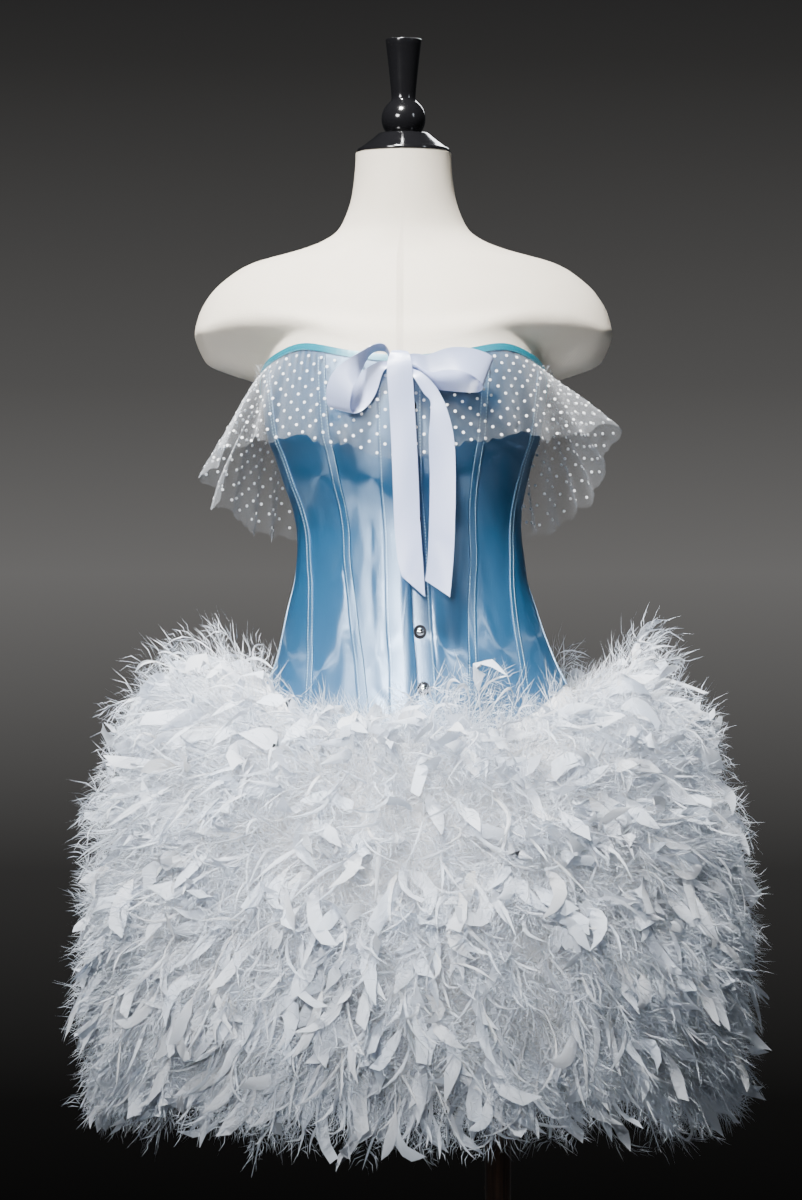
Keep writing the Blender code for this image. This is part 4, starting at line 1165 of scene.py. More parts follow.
def busk_frame(z):
    """Point on the busk's covered edge, with the directions across, along and away from it."""
    low = busk_face(z - 0.5 * LOOP_WIDTH)
    high = busk_face(z + 0.5 * LOOP_WIDTH)
    along = (high - low).normalized()
    away = Vector((1.0, 0.0, 0.0)).cross(along).normalized()
    return 0.5 * (low + high), along.cross(away), along, away


def ring_sections(frame_at, sections, around, outline):
    """Rings of points round a fastening's middle, one for each corner of its section."""
    origin, across, along, away = frame_at
    rings = []
    for reach, rise in sections:
        ring = []
        for step in range(around):
            turn = 2.0 * math.pi * (step + 0.5) / around
            x, z = outline(turn, reach)
            ring.append(origin + (0.5 * LOOP_LENGTH + x) * across + z * along + rise * away)
        rings.append([list(point) for point in ring])
    return np.array(rings)


def loop_outline(turn, reach):
    """Between the round hole at 0 and the loop's oval edge at 1."""
    half = 0.5 * LOOP_LENGTH
    x = STUD_HOLE + reach * (half - STUD_HOLE)
    z = STUD_HOLE + reach * (0.5 * LOOP_WIDTH - STUD_HOLE)
    return x * math.cos(turn), z * math.sin(turn)


def stud_outline(turn, reach):
    """Round, with the reach as its radius."""
    return reach * math.cos(turn), reach * math.sin(turn)


# The loops' steel is coloured near black as a painted reflection of the dark room that polished steel
# would mirror.
dark_steel = steel_surface("steel_painted_dark", (0.012, 0.012, 0.014), 0.28, 0.58)
bright_steel = steel_surface("polished_steel", (0.72, 0.72, 0.74), 0.06, 0.20)

# Each corner of a section is its reach from the middle and its rise off the busk's cover.
loop_front = BUSK_SEAT + LOOP_THICKNESS
loop_sections = (
    (0.0, BUSK_SEAT), (0.96, BUSK_SEAT), (1.0, BUSK_SEAT + 0.0003), (1.0, loop_front - 0.0004),
    (0.93, loop_front), (0.10, loop_front), (0.0, loop_front - 0.0003),
)
head_foot = loop_front + SEAM_GAP
dome_foot = head_foot + STUD_RIM
stud_sections = [
    (STUD_NECK, BUSK_SEAT), (STUD_NECK, head_foot), (STUD_HEAD, head_foot), (STUD_HEAD, dome_foot),
]
for turn in np.radians((15, 30, 45, 60, 74, 86)):
    stud_sections.append((STUD_HEAD * math.cos(turn), dome_foot + STUD_DOME * math.sin(turn)))
for index in range(FASTENINGS):
    frame_here = busk_frame(LOWEST_FASTENING + index * FASTENING_SPACING)
    rings = ring_sections(frame_here, loop_sections, LOOP_SIDES, loop_outline)
    loop_points, loop_faces = looped_rings(rings)
    loop = mesh_piece(f"steel_loop_{index + 1}", loop_points, loop_faces, dark_steel)
    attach(loop, "root")
    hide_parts(f"busk_loop_{index + 1}")
    rings = ring_sections(frame_here, stud_sections, STUD_SIDES, stud_outline)
    stud_points, stud_faces = capped_rings(rings)
    stud = mesh_piece(f"steel_stud_{index + 1}", stud_points, stud_faces, bright_steel)
    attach(stud, "root")
    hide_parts(f"busk_stud_{index + 1}")


# The top binding: one bias strip of teal satin folded over the corset's top edge and
# stitched down, so that it shows as a narrow band above the net.
BINDING = 0.0009
BINDING_DROP = 0.0055
BINDING_COLUMNS = 360
inside = -SATIN - SEAM_GAP
outside = SEAM_GAP
BindingCorner = namedtuple("BindingCorner", "out rise")
BINDING_SECTION = (
    BindingCorner(outside + BINDING, -BINDING_DROP),
    BindingCorner(outside + BINDING, -0.0035),
    BindingCorner(outside + BINDING * 1.1, -0.001),
    BindingCorner(outside + BINDING * 0.7, SEAM_GAP + BINDING * 0.8),
    BindingCorner(0.5 * (inside + outside), SEAM_GAP + BINDING),
    BindingCorner(inside - BINDING * 0.6, SEAM_GAP + BINDING * 0.8),
    BindingCorner(inside - BINDING, -0.001),
    BindingCorner(inside - BINDING, -BINDING_DROP),
    BindingCorner(inside, -BINDING_DROP),
    BindingCorner(inside, SEAM_GAP * 0.9),
    BindingCorner(outside, SEAM_GAP * 0.9),
    BindingCorner(outside, -BINDING_DROP),
)
binding_angles = full_turn(BINDING_COLUMNS)
binding_edge = edge_height(binding_angles, 1.0)
wrinkle = 0.00012 * np.sin(binding_angles * 190.0 + 2.0 * np.sin(binding_angles * 17.0))
binding_rings = []
for corner in BINDING_SECTION:
    out = corner.out + (wrinkle if corner.out > outside else 0.0)
    binding_rings.append(corset_point(binding_angles, binding_edge + corner.rise, out))
binding_grid = np.array(binding_rings)
binding_points, binding_faces = looped_rings(binding_grid)
binding_uv = cut_places(binding_grid)[:len(binding_points)]
teal_satin = satin_surface(
    "teal_satin", (0.006, 0.240, 0.330), (0.004, 0.170, 0.250), 0.30, 0.42, 0.15, 0.4
)
binding = mesh_piece("teal_binding", binding_points, binding_faces, teal_satin, uv=binding_uv)
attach(binding, "root")
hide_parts("top_binding")


# The ruffle: sheer white net with woven dots, cut in long straight strips, gathered under
# the binding and left raw at the hem, so that it stands out at the sides in loose waves.
RUFFLE_WAVES = 30
WAVE_COLUMNS = 16
RUFFLE_RADIUS = 0.145
HEADING_RISE = 0.008
RUFFLE_SEAM_DROP = 0.007
RUFFLE_SEAM_OUT = 0.0016
NET = 0.00025
NET_ROWS = 22
FRILL_LEVELS = (-1.0, -0.7, -0.35)
DOT_SPACING = 0.0160
DOT_MARGIN = 0.003
DOT_RADIUS = 0.00155
DOT_EDGE = 0.00030
DOT_CROWN = 0.00045
DOT_SIDES = 8
RuffleStation = namedtuple("RuffleStation", "angle drop flare wave")
RUFFLE_STATIONS = (
    RuffleStation(-180, 0.122, 0.030, 0.010),
    RuffleStation(-130, 0.125, 0.034, 0.011),
    RuffleStation(-105, 0.110, 0.044, 0.012),
    RuffleStation(-88, 0.092, 0.050, 0.011),
    RuffleStation(-74, 0.085, 0.048, 0.010),
    RuffleStation(-60, 0.080, 0.026, 0.008),
    RuffleStation(-45, 0.084, 0.014, 0.006),
    RuffleStation(-25, 0.086, 0.011, 0.003),
    RuffleStation(0, 0.092, 0.010, 0.0015),
    RuffleStation(25, 0.085, 0.011, 0.003),
    RuffleStation(45, 0.082, 0.014, 0.006),
    RuffleStation(60, 0.076, 0.030, 0.008),
    RuffleStation(74, 0.052, 0.060, 0.009),
    RuffleStation(88, 0.072, 0.058, 0.012),
    RuffleStation(105, 0.098, 0.048, 0.012),
    RuffleStation(130, 0.122, 0.036, 0.011),
    RuffleStation(180, 0.122, 0.030, 0.010),
)
RUFFLE_PIECES = (
    ("front", -66, 66),
    ("left", 66, 126),
    ("back", 126, 234),
    ("right", 234, 294),
)
ruffle_drop = reader(RUFFLE_STATIONS, "angle", "drop")
ruffle_flare = reader(RUFFLE_STATIONS, "angle", "flare")
ruffle_wave = reader(RUFFLE_STATIONS, "angle", "wave")


def ruffle_point(angle, level):
    """Points on the net; level 0 is the gathering seam, 1 the hem, and -1 the frill above it."""
    angle, level = np.broadcast_arrays(angle, level)
    place = (np.degrees(angle) + 180.0) % 360.0 - 180.0
    drop = ruffle_drop(place)
    wave = ruffle_wave(place)
    seam_z = edge_height(angle, 1.0) - RUFFLE_SEAM_DROP
    turn = RUFFLE_WAVES * angle + 1.3 * np.sin(3.0 * angle + 0.6) + 0.9 * np.sin(7.0 * angle)
    low = np.clip(level, 0.0, 1.0)
    size = wave * low * (0.56 + 0.34 * np.sin(5.0 * angle + 2.0) + 0.22 * np.sin(11.0 * angle + 0.5))
    sharp = np.sin(turn) + 0.22 * np.sin(2.0 * turn + 1.0 + 2.0 * np.sin(4.0 * angle))
    gather = 0.0007 * np.exp(-4.5 * low) * np.sin(118.0 * angle + 3.0 * np.sin(11.0 * angle))
    crumple = 0.0010 * low * np.sin(31.0 * low + 9.0 * np.sin(23.0 * angle))
    ragged = np.sin(61.0 * angle + 4.0 * np.sin(13.0 * angle)) + 1.4 * np.sin(17.0 * angle + 1.0)
    ragged = 0.0016 * low ** 6 * ragged
    out = RUFFLE_SEAM_OUT + 0.0009 + ruffle_flare(place) * low ** 0.8 + size * (1.0 + sharp)
    out = out + gather + crumple * np.cos(turn)
    z = seam_z - drop * low + 0.5 * size * np.cos(turn) + ragged
    frill = np.clip(-level, 0.0, 1.0)
    sides = smooth_step((np.abs(place) - 58.0) / 18.0)
    lift = 0.0022 + (HEADING_RISE - 0.0010) * sides
    lift = lift * (0.80 + 0.35 * np.sin(9.0 * angle + 0.7) * np.sin(23.0 * angle))
    curl = 0.0012 + 0.0030 * sides
    curl = curl * (1.0 + 0.5 * np.sin(83.0 * angle + 2.0 * np.sin(19.0 * angle)))
    out = out + frill * curl
    z = z + frill * lift
    base = corset_point(angle, seam_z - 0.5 * drop * low, out)
    base[..., 2] = z
    return base


def grid_normals(grid):
    """Unit directions square to a grid of points."""
    return unit(np.cross(np.gradient(grid, axis=1), np.gradient(grid, axis=0)))


def net_surface():
    """Sheer net: open between fine crossing threads, so layers over each other read whiter."""
    material = plain_surface("sheer_net", (0.82, 0.86, 0.92), 0.75)
    tree = material.node_tree
    place = cut_place(tree)
    lines = []
    for slant in (35.0, -35.0):
        slanted = {"Vector": place, "Rotation": (0.0, 0.0, math.radians(slant))}
        turned = shader_node(tree, "ShaderNodeMapping", slanted).outputs["Vector"]
        bands = {"Vector": turned, "Scale": 190.0, "Distortion": 0.4}
        lines.append(shader_node(tree, "ShaderNodeTexWave", bands).outputs["Fac"])
    threads = maths(tree, "MAXIMUM", *lines)
    cover = mapped(tree, threads, 0.0, 0.035, start=0.60)
    edge_on = shader_node(tree, "ShaderNodeLayerWeight", {"Blend": 0.30}).outputs["Facing"]
    finish(material, {
        "Alpha": maths(tree, "MULTIPLY_ADD", edge_on, 0.27, cover),
        "Normal": bumped(tree, threads, 0.3, 0.0003),
        "Sheen Weight": 0.1,
    })
    return material


def dot_places(net_grid, net_normals):
    """Middles of the net's dots in staggered rows, with the ways out, across and along."""
    across, down = grid_lengths(net_grid)
    run = np.concatenate(([0.0], np.cumsum(across.mean(axis=0))))
    fall = np.concatenate(([0.0], np.cumsum(down.mean(axis=1))))
    row_step = 0.5 * DOT_SPACING
    centres = []
    facings = []
    sides = []
    for dot_row in range(int(fall[-1] / row_step)):
        level = np.interp((dot_row + 0.6) * row_step, fall, np.arange(len(fall)))
        first_stop = DOT_MARGIN + row_step * (dot_row % 2)
        stops = np.arange(first_stop, run[-1] - DOT_MARGIN, DOT_SPACING)
        places = np.interp(stops, run, np.arange(len(run)))
        i = min(int(level), len(fall) - 2)
        j = np.minimum(places.astype(int), len(run) - 2)
        fallen = level - i
        passed = (places - j)[:, None]
        upper = net_grid[i, j] * (1.0 - passed) + net_grid[i, j + 1] * passed
        lower = net_grid[i + 1, j] * (1.0 - passed) + net_grid[i + 1, j + 1] * passed
        centres.append(upper * (1.0 - fallen) + lower * fallen)
        facings.append(net_normals[i, j])
        sides.append(np.cross(net_normals[i, j], net_grid[i + 1, j] - net_grid[i, j]))
    facing = np.concatenate(facings)
    side = unit(np.concatenate(sides))
    return np.concatenate(centres), facing, side, np.cross(facing, side)


def dot_mesh(centre, facing, side, up):
    """A small crowned disc at each place."""
    rings = []
    for lift in (-DOT_EDGE, DOT_EDGE):
        for turn in full_turn(DOT_SIDES):
            spoke = math.cos(turn) * side + math.sin(turn) * up
            rings.append(centre + DOT_RADIUS * spoke + lift * facing)
    rings.append(centre - DOT_CROWN * facing)
    rings.append(centre + DOT_CROWN * facing)
    points = np.stack(rings, axis=1).reshape(-1, 3)
    disc = capped_faces(2, DOT_SIDES)
    return points, [repeated_faces(faces, len(centre), len(rings)) for faces in disc]


sheer_net = net_surface()
flock = woven_surface(
    "woven_dots", (0.95, 0.96, 0.98), (0.88, 0.90, 0.93), 0.8, 2500.0, 0.0002, has_cut=False
)
net_levels = np.concatenate((FRILL_LEVELS, np.linspace(0.0, 1.0, NET_ROWS)))
for label, first, last in RUFFLE_PIECES:
    columns = int((last - first) / 360.0 * RUFFLE_WAVES * WAVE_COLUMNS)
    gap = 0.5 * SEAM_GAP / RUFFLE_RADIUS
    angles = np.linspace(math.radians(first) + gap, math.radians(last) - gap, columns + 1)
    step = angles[1] - angles[0]
    wide = np.concatenate(([angles[0] - step], angles, [angles[-1] + step]))
    grid = ruffle_point(wide[None, :], net_levels[:, None])
    normals = grid_normals(grid)[:, 1:-1]
    grid = grid[:, 1:-1]
    points, faces = wall_grid(grid + 0.5 * NET * normals, grid - 0.5 * NET * normals)
    net = mesh_piece(f"net_ruffle_{label}", points, faces, sheer_net, uv=cut_places(grid))
    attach(net, "root")
    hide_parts(f"ruffle_{label}")

    hanging = slice(len(FRILL_LEVELS), None)
    dot_points, dot_faces = dot_mesh(*dot_places(grid[hanging], normals[hanging]))
    dots = mesh_piece(f"net_dots_{label}", dot_points, dot_faces, flock)
    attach(dots, "root")


# The bow: one length of pale double-faced satin ribbon, 25 mm wide, tied at centre front
# with two loops and two long tails that are cut on the slant.
KNOT_X = -0.004
KNOT_HEIGHT = 1.299
KNOT_OUT = 0.007
KNOT_FORWARD = 0.0028
KNOT_HALF_WIDTH = 0.0065
KNOT_HALF_DEPTH = 0.0040
KNOT_HALF_HEIGHT = 0.0100
KNOT_SIDES = 48
RIBBON = 0.0005
RIBBON_ACROSS = (0.0, 0.04, 0.10, 0.25, 0.42, 0.58, 0.75, 0.90, 0.96, 1.0)
STATION_STEPS = 8
RibbonStation = namedtuple("RibbonStation", "upper_x upper_y upper_z lower_x lower_y lower_z")
LOOP_RIGHT = (
    RibbonStation(-6.9, 1, 5, -6.9, 2, -1),
    RibbonStation(-14, -8, 17, -14, 3, 10),
    RibbonStation(-24, -18, 17, -27, -3, 8),
    RibbonStation(-38, -20, 9, -36, -8, -6),
    RibbonStation(-53, -17, 0, -41, -14, -17),
    RibbonStation(-64, -13, -10, -45, -17, -24),
    RibbonStation(-70, -9, -23, -47, -17, -32),
    RibbonStation(-71, -6, -34, -48, -14, -41),
    RibbonStation(-69, -3, -43, -46, -9, -49),
    RibbonStation(-62, 0, -43, -38, -4, -48),
    RibbonStation(-54, 1, -34, -29, -2, -40),
    RibbonStation(-47, 1, -24, -22, -2, -28),
    RibbonStation(-36, 0, -9, -17, -5, -12),
    RibbonStation(-21, -4, 0, -14, -6.5, -7),
    RibbonStation(-12, -4, 1, -10.5, -5, -5),
    RibbonStation(-6.9, -2, 1, -6.9, -2.5, -4),
)
LOOP_LEFT = (
    RibbonStation(6.9, -2, 5, 6.9, -1, -1),
    RibbonStation(11, -6, 8, 11, -5, -2),
    RibbonStation(18, -9, 8, 19, -8, -4),
    RibbonStation(28, -13, 7, 31, -14, -10),
    RibbonStation(46, -16, 13, 47, -18, -8),
    RibbonStation(62, -15, 14, 62, -19, -10),
    RibbonStation(78, -11, 11, 74, -16, -16),
    RibbonStation(90, -6, 5, 81, -11, -24),
    RibbonStation(88, -1, -1, 77, -5, -29),
    RibbonStation(76, 2, -4, 64, -1, -29),
    RibbonStation(60, 3, -4, 50, -1, -28),
    RibbonStation(40, 3, -3, 36, -2, -26),
    RibbonStation(24, 2, -3, 22, -2, -19),
    RibbonStation(12, 1.5, -3, 12, 0, -10),
    RibbonStation(6.9, 1.5, -1, 6.9, 1, -6),
)
TAIL_RIGHT = (
    RibbonStation(-6, 1, 11, 6, 1, 11),
    RibbonStation(-8, -5, 10, 8.5, -5, 10),
    RibbonStation(-11, -9, 3, 11, -9, 3.5),
    RibbonStation(-12, -11.5, -10, 12.5, -11, -9),
    RibbonStation(-10, -11, -40, 14.5, -10, -40),
    RibbonStation(-8, -10, -75, 16.5, -8.5, -75),
    RibbonStation(-6.5, -8, -115, 18.5, -7, -115),
    RibbonStation(-5, -7, -155, 20, -5, -155),
    RibbonStation(-2, -6, -190, 22.5, -4, -190),
    RibbonStation(2, -5, -208, 25, -3, -228),
)
TAIL_LEFT = (
    RibbonStation(6.9, -1, -4, 6.9, -2.5, -7),
    RibbonStation(12, -5, -6, 12, -7, -12),
    RibbonStation(22, -9, -11, 17, -11, -20),
    RibbonStation(33, -11, -21, 24, -11, -31),
    RibbonStation(42, -12, -36, 30, -10, -38),
    RibbonStation(48, -12, -52, 30, -11, -52),
    RibbonStation(53, -11, -75, 28.5, -11, -75),
    RibbonStation(54.5, -10, -110, 29.5, -9, -110),
    RibbonStation(54, -8, -150, 29, -8, -150),
    RibbonStation(52.5, -6, -190, 27.5, -6.5, -190),
    RibbonStation(49, -4, -228, 25, -5, -212),
)
knot_back = corset_point(0.0, KNOT_HEIGHT, KNOT_OUT + SEAM_GAP)
KNOT_CENTRE = np.array((KNOT_X, knot_back[1] - KNOT_FORWARD, KNOT_HEIGHT))


def smooth_run(points, each):
    """Rounds a row of points, with several new ones between each pair."""
    points = np.asarray(points, float)
    padded = np.vstack((2.0 * points[0] - points[1], points, 2.0 * points[-1] - points[-2]))
    run = []
    for i in range(1, len(padded) - 2):
        p0, p1, p2, p3 = padded[i - 1:i + 3]
        for share in np.linspace(0.0, 1.0, each, endpoint=False):
            a = 2.0 * p1
            b = (p2 - p0) * share
            c = (2.0 * p0 - 5.0 * p1 + 4.0 * p2 - p3) * share ** 2
            d = (3.0 * p1 - p0 - 3.0 * p2 + p3) * share ** 3
            run.append(0.5 * (a + b + c + d))
    run.append(points[-1])
    return np.array(run)


lavender_ribbon = satin_surface(
    "pale_ribbon", (0.47, 0.54, 0.80), (0.41, 0.48, 0.74), 0.30, 0.40, 0.0, 0.35
)
for name, node, stations in (
    ("ribbon_loop_right", "bow_loop_right", LOOP_RIGHT),
    ("ribbon_loop_left", "bow_loop_left", LOOP_LEFT),
    ("ribbon_tail_right", "bow_tail_right", TAIL_RIGHT),
    ("ribbon_tail_left", "bow_tail_left", TAIL_LEFT),
):
    upper_edge = [(station.upper_x, station.upper_y, station.upper_z) for station in stations]
    lower_edge = [(station.lower_x, station.lower_y, station.lower_z) for station in stations]
    upper = smooth_run(upper_edge, STATION_STEPS) * 0.001
    lower = smooth_run(lower_edge, STATION_STEPS) * 0.001
    across = np.array(RIBBON_ACROSS)[:, None, None]
    grid = upper[None] + across * (lower - upper)[None] + KNOT_CENTRE
    normals = grid_normals(grid)
    run = np.linspace(0.0, 1.0, grid.shape[1])[None, :, None]
    sway = 0.0004 * np.sin(run * 21.0 + 2.5 * across)
    crown = 0.0005 * np.sin(math.pi * across)
    grid = grid + normals * (sway + crown)
    thick = 0.5 * RIBBON * np.where((across < 0.05) | (across > 0.95), 1.25, 1.0)
    points, faces = wall_grid(grid + thick * normals, grid - thick * normals)
    places = cut_places(grid)[:, ::-1]
    piece = mesh_piece(name, points, faces, lavender_ribbon, uv=places)
    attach(piece, "root")
    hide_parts(node)

knot_rings = []
for share in np.linspace(-1.0, 1.0, 19):
    size = 0.72 + 0.28 * math.sqrt(max(0.0, 1.0 - share * share))
    ring = []
    for turn in full_turn(KNOT_SIDES):
        fold = 1.0 + 0.045 * math.sin(7.0 * share + 1.2 * math.sin(turn)) * (1.0 - share * share)
        y = KNOT_HALF_DEPTH * size * fold * math.cos(turn)
        z = KNOT_HALF_HEIGHT * size * fold * math.sin(turn)
        ring.append(KNOT_CENTRE + np.array((KNOT_HALF_WIDTH * share, y, z)))
    knot_rings.append(ring)
knot_points, knot_faces = capped_rings(np.array(knot_rings))
knot_uv = np.stack((knot_points[:, 0], knot_points[:, 2]), axis=-1)
knot = mesh_piece("ribbon_knot", knot_points, knot_faces, lavender_ribbon, uv=knot_uv)
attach(knot, "root")
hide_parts("bow_knot")


# The feather skirt: rows of white trim sewn round the underskirt, each feather a curved
# quill with long down at its foot and a narrow vane that ends in a point or a slanted cut.
TOP_REACH = 0.246
TOP_REACH_RISE = 0.046
FEATHER_DEPTH_RATIO = 0.93
FEATHERS_IN_ROW = (680, 700, 730, 740, 740, 720, 700)
FIRST_SEED = 41
ROOT_CLEARANCE = 0.0012
TIP_CLEARANCE = 0.001
SOFT_SHARE = 0.66
CUT_SHARE = 0.36
STRAY_SHARE = 0.05
STRAY_RISE_TOP = 0.034
STRAY_RISE = 0.012
VANE_SECTIONS = 7
STEM_SECTIONS = 4
STEM_HALF_WIDTH = 0.0005
DOWN_BARBS = 46
DOWN_WIDTH = 0.00028
DOWNWARD = np.array((0.0, 0.0, -1.0))
VaneShape = namedtuple("VaneShape", "along pointed cut")
VANE_SHAPES = (
    VaneShape(0.00, 0.15, 0.15),
    VaneShape(0.14, 0.60, 0.60),
    VaneShape(0.36, 1.00, 0.95),
    VaneShape(0.62, 0.90, 1.00),
    VaneShape(0.86, 0.48, 0.94),
    VaneShape(1.00, 0.03, 0.84),
)
Quills = namedtuple("Quills", "root shoulder neck tip facing length vane_from depth soft")


def reach_line(level, angle):
    """Where the feathers end, on the uneven line between two rows."""
    drift = 0.012 * np.sin(5.0 * angle + 1.9 * level) + 0.0072 * np.sin(8.0 * angle + 2.7 * level)
    reach = TOP_REACH
    height = edge_height(angle, 0.0) + TOP_REACH_RISE
    if level > 0:
        reach = SKIRT_LEVELS[level - 1].reach
        height = SKIRT_LEVELS[level - 1].reach_z
    x = SKIRT_SWAY + reach * np.sin(angle)
    y = -reach * FEATHER_DEPTH_RATIO * np.cos(angle)
    return np.stack((x, y, height + drift), axis=-1)


def feather_surface():
    """Feather: cool white at its tips, with fine slanted barbs; its tone attribute also carries
    painted shade, cream to brown towards each feather's foot and in feathers lying deep.
    """
    material = plain_surface("white_feather", (0.93, 0.94, 0.97), 0.72)
    tree = material.node_tree
    # The tone attribute mixes each feather's own random tone with painted shade: its low end, cream to
    # brown, stands for the shade in the skirt's depths.
    tone_with_painted_shade = shader_node(tree, "ShaderNodeAttribute", attribute_name="tone_with_painted_shade").outputs["Fac"]
    shades = (
        (0.00, (0.62, 0.52, 0.40)),
        (0.30, (0.88, 0.84, 0.77)),
        (0.60, (0.86, 0.90, 0.97)),
        (1.00, (0.79, 0.875, 1.0)),
    )
    barbs = {"Vector": cut_place(tree), "Scale": 330.0, "Distortion": 1.5}
    barb_lines = shader_node(tree, "ShaderNodeTexWave", barbs).outputs["Fac"]
    finish(material, {
        "Base Color": colour_ramp(tree, tone_with_painted_shade, shades),
        "Normal": bumped(tree, barb_lines, 0.35, 0.0004),
        "Sheen Weight": 0.25,
        "Specular IOR Level": 0.3,
    })
    return material


def between(line, row, angle, across, *clearance):
    """Points part of the way from one of the skirt's lines down to the next."""
    upper = line(row, angle, *clearance)
    return upper + across * (line(row + 1, angle, *clearance) - upper)


def quill_curves(row, count, chance):
    """One row's curved quills, from the underskirt out to the skirt's uneven outline."""
    turn = (np.arange(count) + chance.random(count)) / count * 2.0 * math.pi
    last = row == len(SKIRT_LEVELS) - 1
    root_across = chance.uniform(0.06, 0.94, count)[:, None]
    root = between(skirt_point, row, turn, root_across, ROOT_CLEARANCE)
    tip_turn = turn + chance.normal(0.0, 0.12, count)
    out_way = outward(tip_turn)
    side_way = outward(tip_turn + 0.5 * math.pi)
    tip_across = chance.uniform(0.12 if row == 0 else -0.20, 1.15, count)[:, None]
    if last:
        tip_across = chance.triangular(-0.25, 0.05, 0.72, count)[:, None]
    tip_along = chance.triangular(0.55, 0.93, 1.07, count)[:, None]
    if last:
        tip_along = tip_along * 0.94
    inner_tip = between(skirt_point, row, tip_turn, tip_across, TIP_CLEARANCE)
    outer_tip = between(reach_line, row, tip_turn, tip_across)
    tip = inner_tip + tip_along * (outer_tip - inner_tip)
    stray_rise = STRAY_RISE_TOP if row == 0 else STRAY_RISE
    tip = tip - (chance.random(count) < STRAY_SHARE)[:, None] * stray_rise * DOWNWARD
    heading = chance.uniform(0.10, 1.0, count)[:, None] * out_way
    heading = heading + chance.normal(0.10 + 0.09 * row, 0.50, count)[:, None] * DOWNWARD
    heading = unit(heading + chance.normal(0.0, 0.75, count)[:, None] * side_way)
    length = chance.uniform(0.045, 0.086, count)[:, None]
    reach = np.linalg.norm(tip - root, axis=-1, keepdims=True)
    shoulder = root + out_way * 0.40 * reach - DOWNWARD * 0.12 * reach
    neck = tip - heading * np.minimum(length, 0.62 * reach)
    facing = unit(out_way + chance.normal(0.0, 0.48, (count, 3)))[:, None, :]
    soft = (chance.random(count) < SOFT_SHARE)[:, None]
    vane_from = np.clip(1.0 - 0.8 * length / np.maximum(reach, 0.05), 0.36, 0.72)
    # How far out the tip lies; it only sets the painted shade of feathers lying deep in the skirt.
    depth = np.clip((tip_along - 0.55) / 0.42, 0.0, 1.0)
    return Quills(root, shoulder, neck, tip, facing, length, vane_from, depth, soft)


def along_quills(quills, share):
    """Points and directions along each quill at the given shares of its length."""
    s = share[..., None]
    curve = (quills.root, quills.shoulder, quills.neck, quills.tip)
    a, b, c, d = (point[:, None, :] for point in curve)
    place = (1 - s) ** 3 * a + 3 * (1 - s) ** 2 * s * b + 3 * (1 - s) * s * s * c + s ** 3 * d
    way = 3 * (1 - s) ** 2 * (b - a) + 6 * (1 - s) * s * (c - b) + 3 * s * s * (d - c)
    return place, unit(way)


def feather_vanes(quills, chance):
    """Narrow vanes, each a shallow V along its quill, with slightly ragged edges."""
    count = len(quills.root)
    steps = np.linspace(0.0, 1.0, VANE_SECTIONS)
    spine, way = along_quills(quills, quills.vane_from + (1.0 - quills.vane_from) * steps)
    across = unit(np.cross(way, quills.facing))
    normal = unit(np.cross(across, way))
    twist = (chance.uniform(-0.4, 0.4, count)[:, None] * steps)[..., None]
    across = np.cos(twist) * across + np.sin(twist) * normal
    normal = unit(np.cross(across, way))
    curl = chance.uniform(-0.004, 0.006, count)[:, None] * steps ** 2
    spine = spine + normal * curl[..., None]
    slender = chance.uniform(0.0008, 0.0024, (count, 1))
    broad = chance.triangular(0.0042, 0.0070, 0.0105, (count, 1))
    stops = [shape.along for shape in VANE_SHAPES]
    pointed = np.interp(steps, stops, [shape.pointed for shape in VANE_SHAPES])
    chopped = np.interp(steps, stops, [shape.cut for shape in VANE_SHAPES])
    cut = (chance.random(count) < CUT_SHARE)[:, None] & ~quills.soft
    profile = np.where(quills.soft, slender, broad) * np.where(cut, chopped, pointed)
    cup = chance.uniform(-0.15, 0.40, count)[:, None]
    edges = []
    for hand in (1.0, -1.0):
        ragged = 1.0 + chance.uniform(-0.16, 0.10, (count, VANE_SECTIONS))
        edge = spine + hand * across * (profile * ragged)[..., None]
        edges.append(edge - normal * (profile * cup)[..., None])
    vane = np.stack((edges[0], spine + normal * 0.0003, edges[1]), axis=2)
    slant = chance.uniform(-0.009, 0.009, count)[:, None] * cut
    vane[:, -1, 0] += way[:, -1] * slant
    vane[:, -1, 2] -= way[:, -1] * slant
    width_place = np.stack((profile, 0.0 * profile, -profile), axis=-1)
    along_place = (steps * quills.length)[..., None] + np.abs(width_place) * 1.6
    places = np.stack((along_place, width_place), axis=-1).reshape(count, -1, 2)
    # Painted shade on top of each feather's own random tone: the vane darkens towards its foot, and in
    # feathers whose tips lie deep in the skirt.
    tone_with_painted_shade = chance.uniform(0.62, 1.0, (count, 1)) * (0.62 + 0.38 * steps ** 0.6)
    tone_with_painted_shade = np.repeat(tone_with_painted_shade * (0.72 + 0.28 * quills.depth), 3, axis=1)
    return vane.reshape(count, -1, 3), places, tone_with_painted_shade


def feather_stems(quills):
    """The bare lower part of each quill, a slender flat strip."""
    count = len(quills.root)
    stem, way = along_quills(quills, quills.vane_from * np.linspace(0.0, 1.0, STEM_SECTIONS))
    side = STEM_HALF_WIDTH * unit(np.cross(way, quills.facing))
    points = np.stack((stem - side, stem + side), axis=2).reshape(count, -1, 3)
    return points, np.zeros((*points.shape[:2], 2)), np.full(points.shape[:2], 0.55)


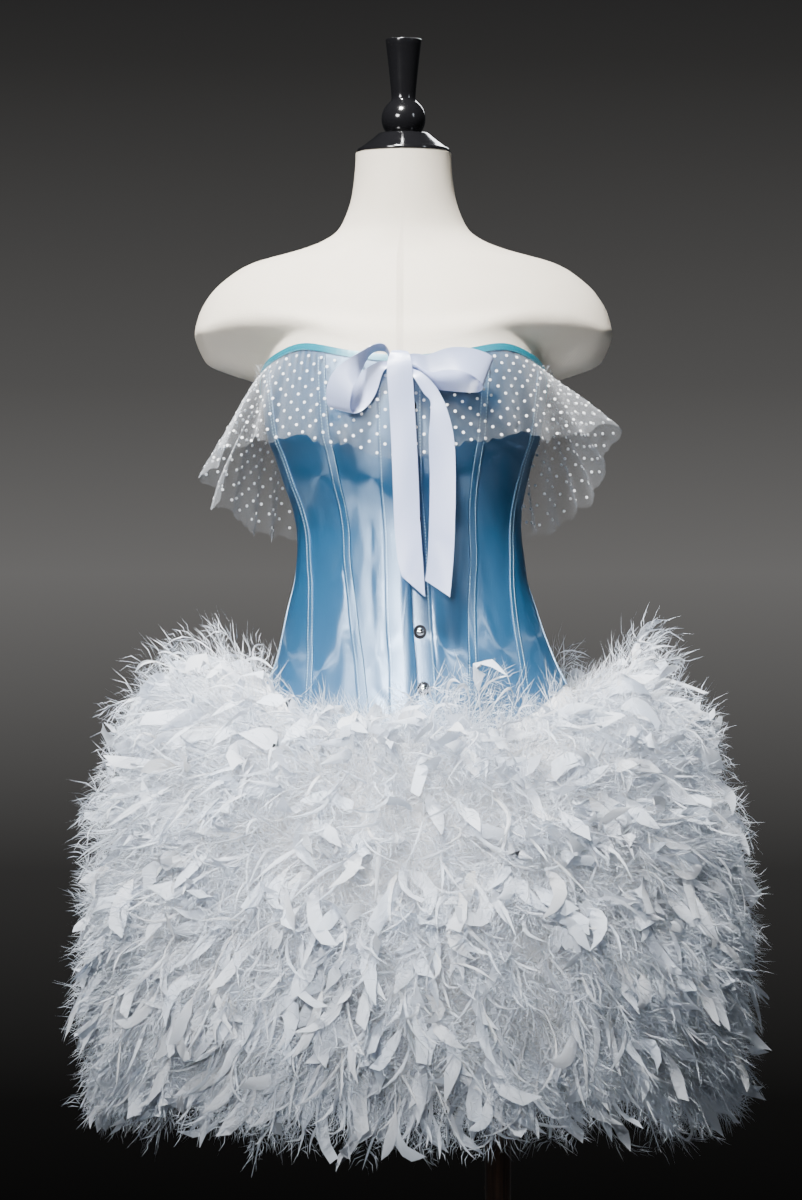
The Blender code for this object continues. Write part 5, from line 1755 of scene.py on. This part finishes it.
def feather_down(quills, chance):
    """Long soft barbs down both sides of each quill, each one bent in its middle."""
    count = len(quills.root)
    each = (count, DOWN_BARBS, 1)
    from_share = np.where(quills.soft, 0.16, 0.10)
    to_share = np.where(quills.soft, 0.97, quills.vane_from + 0.16)
    order = (np.arange(DOWN_BARBS) + chance.random((count, DOWN_BARBS))) / DOWN_BARBS
    share = from_share + (to_share - from_share) * order
    foot, way = along_quills(quills, share)
    hand = np.where(np.arange(DOWN_BARBS) % 2 == 0, 1.0, -1.0)[None, :, None]
    side = unit(np.cross(way, quills.facing)) * hand
    up = unit(np.cross(side, way))
    lift = chance.normal(0.0, 0.42, each)
    forward = chance.uniform(0.25, 0.95, each)
    lay = unit(side + forward * way + lift * up)
    swell = np.interp(order, (0.0, 0.3, 0.7, 1.0), (0.70, 1.0, 0.85, 0.42))[..., None]
    length = chance.uniform(0.024, 0.050, each) * swell
    bend = way * 0.95 + chance.normal(0.0, 0.30, (count, DOWN_BARBS, 3))
    middle = foot + lay * length * 0.5
    end = middle + unit(lay + bend) * length * 0.5
    flat = unit(np.cross(lay, chance.normal(0.0, 1.0, (count, DOWN_BARBS, 3)))) * DOWN_WIDTH
    points = np.stack((foot, middle + flat, middle - flat, end), axis=2).reshape(count, -1, 3)
    # Painted shade: the down darkens towards the quill's foot, and in feathers whose tips lie deep in
    # the skirt.
    tone_with_painted_shade = np.clip(0.36 + 0.70 * share, 0.0, 1.0) * (0.80 + 0.20 * quills.depth)
    return points, np.zeros((*points.shape[:2], 2)), np.repeat(tone_with_painted_shade, 4, axis=1)


def feather_row(row, count, chance):
    """Points, faces, places, and tones with painted shade, of one row of feathers."""
    quills = quill_curves(row, count, chance)
    parts = (feather_vanes(quills, chance), feather_stems(quills), feather_down(quills, chance))
    points, places, tones_with_painted_shade = (np.concatenate(kind, axis=1) for kind in zip(*parts))
    stem_first = VANE_SECTIONS * 3
    barb_first = stem_first + STEM_SECTIONS * 2
    vane_faces = grid_faces(VANE_SECTIONS, 3)
    stem_faces = grid_faces(STEM_SECTIONS, 2, first=stem_first)
    barb_faces = repeated_faces(np.array([[0, 1, 2], [1, 3, 2]]), DOWN_BARBS, 4) + barb_first
    feather_faces = (np.concatenate((vane_faces, stem_faces)), barb_faces)
    faces = [repeated_faces(kind, count, points.shape[1]) for kind in feather_faces]
    return points.reshape(-1, 3), faces, places.reshape(-1, 2), tones_with_painted_shade.ravel()


white_feather = feather_surface()
for row, count in enumerate(FEATHERS_IN_ROW):
    chance = np.random.default_rng(FIRST_SEED + row)
    points, faces, places, tones_with_painted_shade = feather_row(row, count, chance)
    piece = mesh_piece(f"feathers_{row + 1}", points, faces, white_feather, uv=places, closed=False)
    # The feathers' tone attribute: their own random tone together with painted shade in the skirt's
    # depths.
    layer = piece.data.attributes.new("tone_with_painted_shade", "FLOAT", "POINT")
    layer.data.foreach_set("value", tones_with_painted_shade.astype(np.float32))
    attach(piece, "root")
    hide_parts(f"feather_row_{row + 1}")
